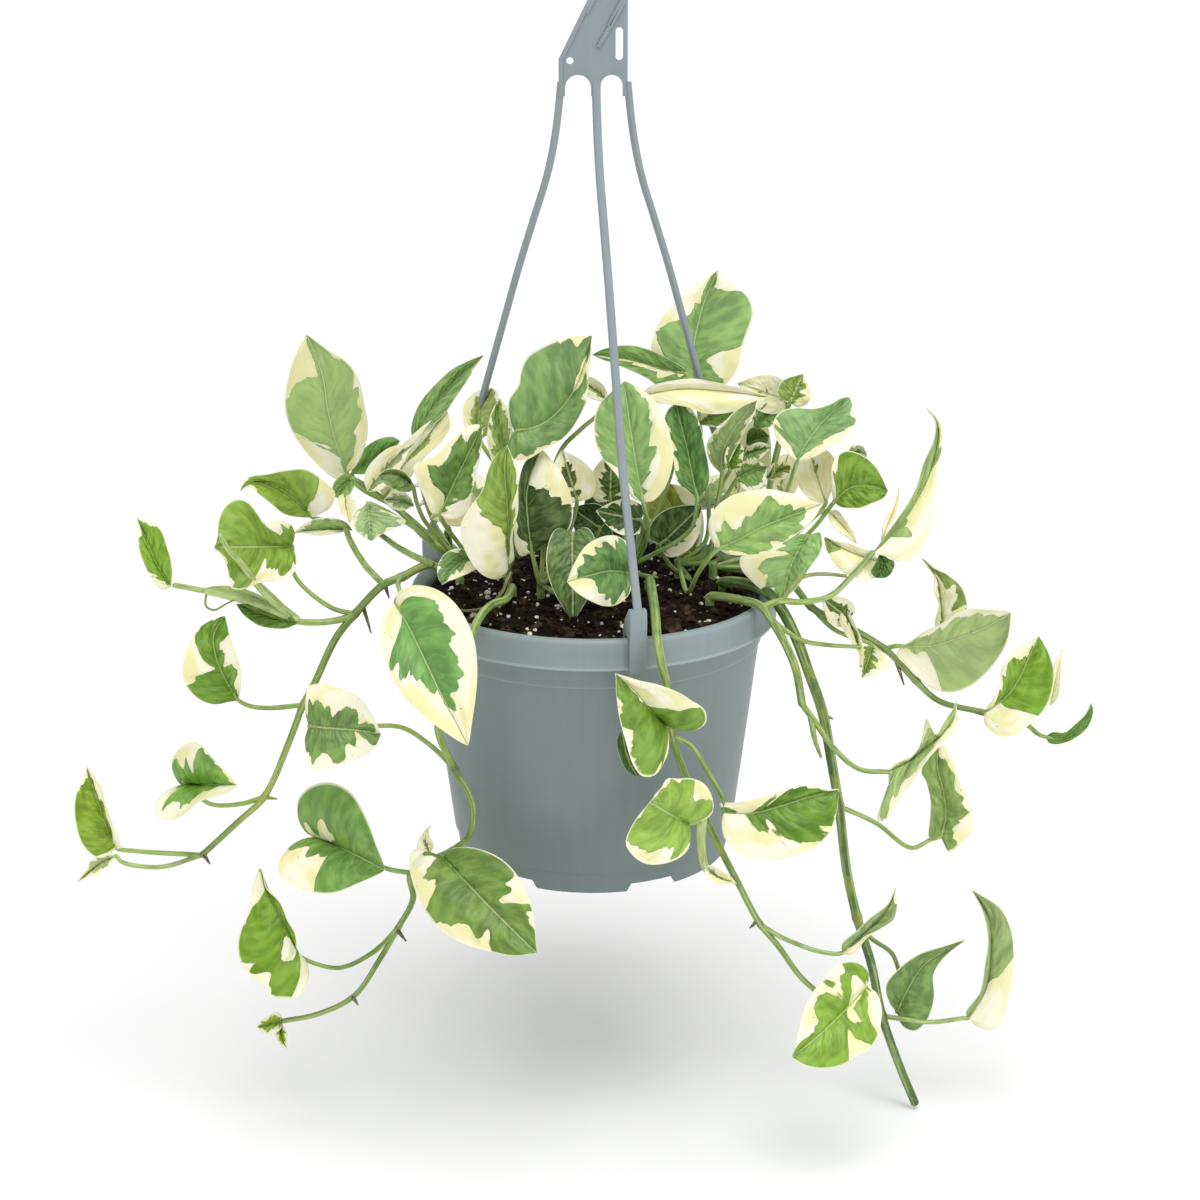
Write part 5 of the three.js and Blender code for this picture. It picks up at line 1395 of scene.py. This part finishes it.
                   (406, 521), (392, 529), (380, 536)], [(358, 510), (352, 521), (358, 532),
                   (364, 537)], "77777/77777", 0xA3BF84, stalk=[(440, 550, 14), (425, 535, 8)]),
            traced([(413, 487, 2), (405, 477, 0), (393, 473, -4), (378, 475, -6)], [(409, 492),
                   (396, 490), (384, 484)], [(410, 476), (398, 470), (385, 470)], "99999/99999",
                   0x7A9455, stalk=[(449, 550, 10), (432, 530, 8), (423, 518, 6),
                   (416, 500, 4)]),
            traced([(352, 474, 22), (372, 460, 20), (400, 441, 16)], [(354, 462), (364, 448),
                   (378, 439), (392, 437)], [(365, 474), (380, 463), (394, 452)], "99999/99988",
                   0x6DA04E, stalk=[(436, 540, 22), (400, 510, 24), (365, 490, 24)]),
            traced([(385, 498, 20), (402, 468, 20), (425, 440, 22), (447, 410, 22)], [(378, 485),
                   (386, 462), (404, 443), (425, 425)], [(400, 495), (412, 475), (425, 458),
                   (443, 440), (450, 425)], "00000/00350", 0x8FA54C, stalk=[(437, 545, 20),
                   (410, 520, 20)]),
            traced([(452, 549, 4), (448, 535, 3), (446, 519, 2)], [(445, 535)], [(452, 533)],
                   "99999/99999", 0x6E8B3C, stalk=[(452, 552, 6)]),
            traced([(413, 441, 30), (430, 412, 31), (452, 384, 33), (484, 355, 34)], [(411, 428),
                   (416, 411), (430, 390), (450, 370), (468, 361)], [(424, 432), (440, 420),
                   (455, 398), (472, 373)], "99999/99998", 0x84A85F, stalk=[(438, 530, 24),
                   (420, 480, 28)]),
            traced([(352, 478, 10), (342, 486, 8), (334, 497, 6)], [(354, 488), (346, 498)],
                   [(345, 474), (334, 482), (331, 490)], "99999/99999", 0x7DA553,
                   stalk=[(436, 548, 10), (392, 505, 12)]),
            traced([(345, 493, 4), (346, 507, 2), (350, 523, 0)], [(354, 500), (355, 512)],
                   [(339, 497), (340, 510)], "00000/00000", 0xA9BC82),
            traced([(414, 506, 4), (400, 500, 3), (383, 500, 2)], [(405, 510), (392, 508)],
                   [(408, 494), (395, 490)], "66666/66666", 0xA9BF84),
            traced([(368, 492, 8), (382, 475, 9), (396, 458, 10), (415, 443, 12)], [(364, 480),
                   (372, 462), (388, 448)], [(382, 490), (396, 474), (408, 455)], "22222/55555",
                   0x9DB27A),
        ],
    ),
    dict(
        name="stem_left_centre", root=(-40, 2), girth=2.2,
        blades=[
            traced([(515, 432, -2), (540, 425, 0), (560, 410, 2), (577, 385, 4), (586, 360, 5),
                   (592, 336, 6)], [(511, 420), (509, 400), (518, 385), (521, 370), (527, 357),
                   (540, 348), (560, 340), (577, 336)], [(508, 445), (510, 458), (525, 460),
                   (545, 449), (565, 436), (582, 413), (589, 395), (588, 375), (590, 350)],
                   "999999987/888888779", 0x6F9450, inner="000000000/000003450", lift=(-4, -5),
                   stalk=[(510, 560, 2), (512, 500, 0)]),
            traced([(480, 440, 14), (480, 410, 16), (492, 388, 16)], [(466, 430), (463, 408),
                   (475, 392)], [(492, 430), (497, 408), (498, 393)], "55555/77777", 0x9DB060,
                   stalk=[(512, 560, 0), (515, 500, -6)]),
            traced([(507, 566, -30), (509, 535, -36), (507, 500, -40), (505, 470, -43),
                   (507, 445, -44)], [(504, 576), (494, 579), (480, 573), (469, 558), (462, 540),
                   (461, 524), (470, 506), (482, 490), (488, 470), (496, 455)], [(513, 560),
                   (514, 530), (518, 505), (517, 475), (512, 455)], "000137999/246667888",
                   0x83A33C, stalk=[(507, 586, -24)]),
            traced([(440, 514, -14), (450, 492, -16), (463, 465, -18), (474, 443, -19),
                   (482, 425, -20)], [(432, 513), (425, 498), (417, 480), (414, 465), (425, 460),
                   (437, 454), (449, 442), (462, 430), (474, 425)], [(448, 519), (460, 517),
                   (469, 508), (472, 492), (476, 475), (481, 455), (483, 438)],
                   "003665653/235788888", 0x628837, stalk=[(490, 575, 0), (456, 540, -10)]),
            traced([(476, 556, -24), (462, 562, -27), (452, 570, -30), (442, 585, -34)],
                   [(480, 566), (470, 573), (455, 578)], [(470, 551), (456, 549), (444, 554),
                   (438, 564), (438, 576)], "55555/88888", 0x6F9550, stalk=[(500, 570, -10)]),
            traced([(507, 470, 0), (501, 440, 1), (497, 415, 2), (500, 398, 2)], [(497, 470),
                   (489, 452), (488, 430), (491, 412)], [(513, 460), (513, 435), (509, 412)],
                   "66777/66666", 0x8CAA52, stalk=[(508, 560, 4), (494, 500, 4)]),
            blade((475, 505, 4), (430, 518, -4), 16, "00000/00000", 0x9AB05A,
                  stalk=[(500, 560, 4), (485, 525, 4)]),
        ],
    ),
    dict(
        name="stem_centre_left", root=(-24, -16), girth=2,
        blades=[
            # Painted shade: a leaf deep in the crown, its green darkened to stand for the shade
            # there.
            traced([(532, 552, -18), (528, 522, -18), (527, 490, -16), (541, 448, -14)],
                   [(522, 556), (515, 545), (514, 520), (517, 490), (526, 462)], [(545, 548),
                   (560, 540), (570, 527), (573, 510), (571, 495), (564, 478), (555, 464)],
                   "35999/999984100", 0x365212, stalk=[(540, 585, -18)]),
            blade((572, 533, -28), (573, 622, -48), 24, "99999/99999", 0x587636, arch=0.05,
                  stalk=[(548, 580, -20), (560, 545, -24)]),
            traced([(631, 573, -46), (610, 571, -54), (590, 575, -61), (567, 582, -68)],
                   [(631, 586), (627, 597), (615, 605), (601, 606), (588, 600), (575, 591)],
                   [(634, 560), (629, 545), (617, 536), (602, 537), (587, 545), (576, 561),
                   (569, 574)], "577776200/577877640", 0x5F8A48, stalk=[(570, 600, -30),
                   (602, 592, -44)]),
            # Painted shade: a leaf deep in the crown, its green darkened to stand for the shade
            # there.
            blade((577, 500, -8), (562, 450, -2), 22, "22522/22222", 0x4C5C1C,
                  stalk=[(548, 570, -14), (570, 530, -10)]),
            # Painted shade: a leaf deep in the crown, its green darkened to stand for the shade
            # there.
            blade((600, 528, -6), (572, 508, -4), 18, "99999/99999", 0x2F4A14,
                  stalk=[(552, 575, -14), (585, 550, -8)]),
            traced([(608, 402, 30), (595, 390, 30), (576, 380, 30)], [(598, 401), (584, 393)],
                   [(604, 385), (590, 377)], "33333/22222", 0xA8B860, stalk=[(548, 500, -10),
                   (560, 452, 0), (580, 430, 12), (600, 413, 24)], stalk_green=0x66802E),
        ],
    ),
    dict(
        name="stem_centre", root=(12, 4), girth=2.2,
        blades=[
            traced([(643, 502, -24), (638, 475, -25), (634, 450, -26), (630, 425, -26),
                   (624, 381, -26)], [(634, 498), (623, 483), (611, 469), (601, 456), (595, 440),
                   (594, 422), (599, 405), (610, 393)], [(652, 501), (661, 493), (669, 478),
                   (673, 458), (670, 435), (664, 417), (656, 402), (645, 392), (633, 385)],
                   "566889998/012455688", 0x86AC62, lift=(-4, -4), stalk=[(636, 560, 0),
                   (648, 530, -16)]),
            traced([(697, 497, -4), (691, 467, -3), (685, 440, -2), (679, 417, -1),
                   (677, 403, 0)], [(687, 491), (677, 481), (674, 465), (672, 448), (667, 434),
                   (664, 420), (668, 409)], [(704, 493), (709, 480), (708, 462), (704, 442),
                   (700, 425), (693, 411), (685, 404)], "888777888/899998877", 0x4F7E38,
                   stalk=[(642, 560, 2), (690, 530, -2)]),
            traced([(640, 396, 12), (680, 389, 11), (725, 391, 10), (770, 397, 8)], [(650, 386),
                   (680, 380), (712, 381), (745, 389)], [(655, 403), (685, 407), (712, 414),
                   (742, 409)], "00000/00005", 0x8CA84A, stalk=[(640, 540, 10), (650, 450, 14)]),
            traced([(686, 374, 30), (660, 368, 30), (630, 360, 29), (592, 355, 28)], [(678, 384),
                   (662, 388), (645, 378), (620, 366)], [(684, 368), (668, 359), (650, 350),
                   (625, 345), (605, 348)], "99999/99999", 0x7BA452, inner="44444/00000",
                   stalk=[(645, 540, 14), (680, 440, 28)]),
            # Painted shade: a leaf deep in the crown, its green darkened to stand for the shade
            # there.
            blade((640, 520, -14), (596, 511, -20), 17, "77777/77777", 0x34520F,
                  stalk=[(636, 560, 0), (645, 535, -10)]),
            # Painted shade: a leaf deep in the crown, its green darkened to stand for the shade
            # there.
            blade((610, 500, 4), (612, 450, 8), 20, "44444/55555", 0x4C6414,
                  stalk=[(632, 560, 4), (618, 525, 4)]),
            traced([(698, 424, 14), (720, 414, 14), (744, 403, 14)], [(704, 410), (724, 402)],
                   [(715, 427), (735, 414)], "55555/88888", 0x7C9E4E),
            traced([(692, 560, 18), (682, 530, 18), (668, 500, 18), (655, 482, 18)], [(668, 553),
                   (652, 530), (645, 500)], [(702, 540), (702, 512), (685, 488)], "88888/66666",
                   0xA0A63C, stalk=[(690, 580, 16)]),
            # Painted shade: a leaf deep in the crown, its green darkened to stand for the shade
            # there.
            traced([(618, 560, 24), (612, 530, 24), (606, 500, 24), (598, 478, 24)], [(600, 552),
                   (586, 528), (586, 496)], [(634, 548), (634, 515), (618, 488)], "99999/99999",
                   0x2F4F18, stalk=[(618, 575, 22)]),
        ],
    ),
    dict(
        name="stem_centre_right", root=(40, 14), girth=2.2,
        blades=[
            traced([(718, 549, -44), (738, 540, -45), (762, 527, -46), (790, 516, -46),
                   (822, 504, -46)], [(711, 538), (709, 522), (716, 507), (731, 496), (748, 491),
                   (768, 489), (787, 493), (805, 498)], [(729, 554), (744, 555), (760, 554),
                   (777, 546), (794, 537), (806, 527), (815, 516)], "255346520/578888840",
                   0x86AC5C, lift=(-4, -4), stalk=[(688, 592, -20), (700, 570, -36)]),
            traced([(722, 474, 0), (722, 455, 1), (732, 432, 1), (745, 415, 2), (757, 400, 2)],
                   [(712, 464), (707, 447), (713, 433), (726, 420), (741, 408)], [(729, 462),
                   (738, 443), (747, 426), (755, 412)], "88888/77777", 0x7C9844,
                   under=True, stalk=[(706, 560, 8), (716, 510, 4)]),
            traced([(737, 479, 8), (752, 471, 7), (768, 467, 6)], [(735, 468), (745, 461),
                   (758, 461)], [(742, 488), (752, 492), (763, 485)], "77777/66666", 0x7AA050,
                   stalk=[(706, 555, 10), (720, 510, 9)]),
            traced([(696, 382, 36), (693, 355, 37), (698, 325, 38), (706, 297, 38),
                   (718, 270, 36)], [(682, 385), (665, 378), (654, 362), (651, 345), (656, 328),
                   (665, 314), (678, 300), (692, 288), (706, 277)], [(706, 388), (718, 388),
                   (730, 380), (738, 366), (742, 348), (748, 330), (753, 315), (750, 300),
                   (741, 290), (728, 281)], "667783246/984799953", 0x86AC62, lift=(-4, -4),
                   stalk=[(706, 540, 20), (702, 450, 36)]),
            traced([(730, 470, -2), (732, 456, -4), (741, 443, -4)], [(724, 462), (728, 447)],
                   [(741, 466), (744, 453)], "77777/77777", 0x6C9630, stalk=[(708, 550, 14),
                   (720, 490, 15)]),
            # Painted shade: a leaf deep in the crown, its green darkened to stand for the shade
            # there.
            blade((660, 545, 4), (702, 505, 6), 22, "99999/55555", 0x34520F,
                  stalk=[(690, 580, 8), (670, 565, 6)]),
            traced([(754, 428, 18), (766, 415, 18), (778, 403, 18)], [(752, 414), (763, 403)],
                   [(768, 428), (780, 415)], "77777/88888", 0x74A04A),
            traced([(744, 455, 14), (757, 450, 14), (771, 447, 14)], [(749, 446), (760, 442)],
                   [(750, 461), (763, 457)], "44444/77777", 0x7C9E4E),
            traced([(766, 478, 12), (778, 471, 12), (791, 466, 12)], [(769, 467), (780, 461)],
                   [(778, 481), (789, 476)], "66666/66666", 0x8C9A45),
            traced([(746, 444, 22), (757, 437, 22), (769, 436, 22)], [(748, 431), (759, 427)],
                   [(756, 447), (766, 444)], "99999/99999", 0x5A8228),
            traced([(780, 502, 26), (781, 480, 26), (788, 454, 26)], [(768, 490), (769, 470),
                   (777, 457)], [(794, 494), (800, 476), (796, 460)], "22111/11222", 0x9DB060),
            traced([(736, 503, 20), (742, 472, 20), (750, 444, 20), (758, 416, 20)], [(722, 488),
                   (724, 462), (738, 434)], [(755, 497), (769, 472), (771, 442), (766, 424)],
                   "12321/00011", 0x7C9E4E, stalk=[(718, 560, 14), (726, 530, 18)]),
        ],
    ),
    dict(
        name="stem_right_upright", root=(56, 6), girth=2.2,
        blades=[
            traced([(834, 502, -10), (850, 488, -11), (868, 486, -13), (888, 491, -14)],
                   [(832, 485), (833, 462), (845, 451), (860, 454), (873, 464), (882, 478)],
                   [(842, 507), (857, 508), (873, 504), (883, 498)], "356899999/99999", 0x6E9420,
                   stalk=[(760, 570, 2), (811, 531, -6)]),
            traced([(797, 462, -4), (806, 444, -3), (819, 426, -1), (834, 410, 0),
                   (848, 397, 2)], [(784, 450), (775, 436), (774, 420), (782, 411), (795, 408),
                   (812, 409), (827, 405), (839, 399)], [(806, 460), (826, 450), (840, 442),
                   (852, 430), (857, 415), (854, 403)], "357899999/124556788", 0x7FA564,
                   lift=(-4, -4), stalk=[(752, 560, 4), (780, 510, 0)]),
            traced([(826, 503, 2), (818, 480, 3), (812, 460, 4), (806, 446, 4)], [(815, 503),
                   (803, 492), (796, 475), (797, 458)], [(832, 490), (837, 475), (835, 460),
                   (822, 447)], "00000/00020", 0x8C9C3C, stalk=[(756, 565, 5), (800, 530, 2)]),
            traced([(828, 511, -4), (842, 525, -8), (857, 544, -14)], [(837, 511), (849, 524)],
                   [(829, 520), (842, 534)], "00000/00000", 0xC0C890, stalk=[(780, 545, 2),
                   (815, 515, -2)]),
            traced([(808, 536, -12), (797, 553, -16), (788, 576, -20), (783, 603, -24)],
                   [(820, 533), (823, 545), (816, 560), (804, 576), (793, 591)], [(790, 538),
                   (760, 552), (740, 558), (741, 570), (752, 581), (768, 594)],
                   "99999/996445678", 0x8DB568, lift=(-4, -4), stalk=[(756, 565, 0),
                   (772, 545, -8)]),
            blade((790, 402, 12), (803, 374, 14), 16, "99999/44444", 0x86A044,
                  stalk=[(750, 555, 8), (776, 460, 12)]),
            blade((785, 400, 20), (738, 383, 22), 18, "00111/00100", 0x86A044,
                  stalk=[(748, 555, 10), (774, 460, 16)]),
            traced([(848, 458, -6), (858, 452, -6), (867, 455, -6)], [(852, 445), (862, 446)],
                   [(856, 460), (864, 460)], "88888/88888", 0x9DB87A),
        ],
    ),
    dict(
        name="stem_back_left", root=(-36, 44), girth=2, in_plan=True,
        blades=[
            blade((-50, 66, 146), (-88, 96, 138), 36, "77665/86654", 0x769C3C, arch=0.08,
                  stalk=[(-42, 54, 144)]),
            blade((-30, 72, 150), (-44, 118, 140), 36, "86754/75866", 0x6C9436, arch=0.08,
                  stalk=[(-34, 58, 146)]),
            blade((-56, 56, 154), (-92, 78, 152), 32, "88765/66754", 0x84A84A, arch=0.08,
                  stalk=[(-46, 50, 147)]),
            blade((-20, 50, 152), (10, 76, 150), 32, "65767/87654", 0x749A40, arch=0.08,
                  stalk=[(-30, 48, 147)]),
        ],
    ),
    dict(
        name="stem_back_right", root=(32, 46), girth=2, in_plan=True,
        blades=[
            blade((48, 66, 146), (82, 98, 138), 36, "78655/76864", 0x769C3C, arch=0.08,
                  stalk=[(38, 54, 144)]),
            blade((30, 74, 148), (40, 120, 138), 36, "66875/87654", 0x6C9436, arch=0.08,
                  stalk=[(30, 60, 145)]),
            blade((54, 58, 154), (90, 80, 151), 32, "75864/86675", 0x84A84A, arch=0.08,
                  stalk=[(42, 50, 148)]),
        ],
    ),
    dict(
        name="stem_back_trailing", root=(-4, 54), girth=2.1, taper=1.3, in_plan=True,
        vine=[(-5, 66, 132), (-6, 79, 135), (-7, 90, 130), (-8, 96, 112), (-4, 100, 88),
              (4, 101, 60), (6, 102, 34)],
        blades=[
            blade((-28, 102, 100), (-60, 112, 74), 36, "86754/75866", 0x769C3C, arch=0.08,
                  stalk=[(-8, 97, 108), (-18, 101, 107)]),
            blade((22, 108, 76), (52, 118, 48), 36, "77665/86654", 0x6C9436, arch=0.08,
                  stalk=[(-2, 100, 82), (12, 106, 83)]),
            blade((-12, 108, 42), (-36, 118, 14), 34, "68754/77655", 0x84A84A, arch=0.08,
                  stalk=[(5, 102, 52), (-4, 106, 50)]),
            blade((6, 104, 30), (14, 116, 2), 30, "76855/66764", 0x749A40, arch=0.08,
                  stalk=[(6, 102, 34)]),
        ],
    ),
]


def make_foliage():
    leaf_side("leaf_upper_side", False)
    leaf_side("leaf_under_side", True)
    stalk_skin("stalk_skin")
    for number, stem in enumerate(STEMS):
        make_stem(stem, number)


# Stage
FLOOR_SIZE = 160.0


def lamp(kind, name, place, target, power, **settings):
    deselect()
    bpy.ops.object.light_add(type=kind, location=place)
    made = bpy.context.object
    made.name = name
    made.data.energy = power
    for key, value in settings.items():
        setattr(made.data, key, value)
    aim = Vector(target) - Vector(place)
    made.rotation_euler = aim.to_track_quat("-Z", "Y").to_euler()


def make_stage():
    own = looks().stage
    scene = bpy.context.scene
    scene.view_settings.view_transform = "Standard"
    deselect()
    bpy.ops.object.camera_add(
        location=tuple(to_row(EYE)), rotation=(math.radians(90) - EYE_PITCH, 0, 0))
    camera = bpy.context.object
    camera.data.sensor_width = 36
    camera.data.lens = 36 * EYE_FOCAL / 1200
    camera.data.clip_end = FLOOR_SIZE
    scene.camera = camera
    floor_height = -HANG_HEIGHT * MM - own.floor_drop
    deselect()
    bpy.ops.mesh.primitive_grid_add(x_subdivisions=8, y_subdivisions=8, size=FLOOR_SIZE,
                                    location=(0, 0, floor_height))
    floor = bpy.context.object
    bpy.ops.object.transform_apply()
    floor.name = "floor"
    finish = Finish("white_floor", Roughness=0.9, Specular_IOR_Level=0.0)
    tone = finish.mix(finish.grain(finish.here(), 3.0), (0.94, 0.94, 0.94), (0.95, 0.95, 0.95))
    floor.data.materials.append(finish.done(Base_Color=tone))
    world = bpy.data.worlds.new("white_sky")
    world.use_nodes = True
    back = world.node_tree.nodes["Background"]
    back.inputs["Color"].default_value = (1, 1, 1, 1)
    back.inputs["Strength"].default_value = own.sky
    scene.world = world
    lamp("SUN", "lamp_above", (0.08, -0.33, 1.0), (0, 0, 0), own.key, angle=math.radians(42))
    lamp("AREA", "lamp_beside", (1.6, -1.4, 0.5), (0, 0, -0.3), own.side, shape="DISK",
         size=0.9)


# Operators
class POTHOS_OT_stage(bpy.types.Operator):
    """Camera, pale floor and soft light."""

    bl_idname = "pothos.stage"
    bl_label = "Stage"

    def execute(self, context):
        make_stage()
        return {"FINISHED"}


class POTHOS_OT_pot(bpy.types.Operator):
    """Plastic pot with a rolled rim, drain holes and a notched skirt."""

    bl_idname = "pothos.pot"
    bl_label = "Pot"

    def execute(self, context):
        make_pot()
        return {"FINISHED"}


class POTHOS_OT_hanger(bpy.types.Operator):
    """Moulded hanger: hook, head plate, three legs and their clips."""

    bl_idname = "pothos.hanger"
    bl_label = "Hanger"

    def execute(self, context):
        make_hanger()
        return {"FINISHED"}


class POTHOS_OT_soil(bpy.types.Operator):
    """Potting mix with white grains and peat crumbs."""

    bl_idname = "pothos.soil"
    bl_label = "Soil"

    def execute(self, context):
        make_mix()
        make_grains()
        return {"FINISHED"}


class POTHOS_OT_foliage(bpy.types.Operator):
    """Stems, stalks and variegated leaves."""

    bl_idname = "pothos.foliage"
    bl_label = "Foliage"

    def execute(self, context):
        make_foliage()
        return {"FINISHED"}


OPERATORS = (POTHOS_OT_stage, POTHOS_OT_pot, POTHOS_OT_hanger, POTHOS_OT_soil,
             POTHOS_OT_foliage)


class POTHOS_PT_panel(bpy.types.Panel):
    """Sizes, colours and the steps that make the plant."""

    bl_label = "Potted Pothos"
    bl_idname = "POTHOS_PT_panel"
    bl_space_type = "VIEW_3D"
    bl_region_type = "UI"
    bl_category = "Pothos"

    def draw(self, context):
        for name in ("stage", "pot", "hanger", "soil", "leaf"):
            box = self.layout.box()
            group = getattr(context.scene.potted_pothos, name)
            for key in group.__annotations__:
                box.prop(group, key)
        for operator in OPERATORS:
            self.layout.operator(operator.bl_idname)


CLASSES = (PotLooks, HangerLooks, SoilLooks, LeafLooks, StageLooks, PlantLooks, *OPERATORS,
           POTHOS_PT_panel)


def register():
    for one in CLASSES:
        bpy.utils.register_class(one)
    bpy.types.Scene.potted_pothos = PointerProperty(type=PlantLooks)


def unregister():
    del bpy.types.Scene.potted_pothos
    for one in reversed(CLASSES):
        bpy.utils.unregister_class(one)


def main():
    register()
    bpy.ops.pothos.stage()
    bpy.ops.pothos.pot()
    bpy.ops.pothos.hanger()
    bpy.ops.pothos.soil()
    bpy.ops.pothos.foliage()


if __name__ == "__main__":
    main()
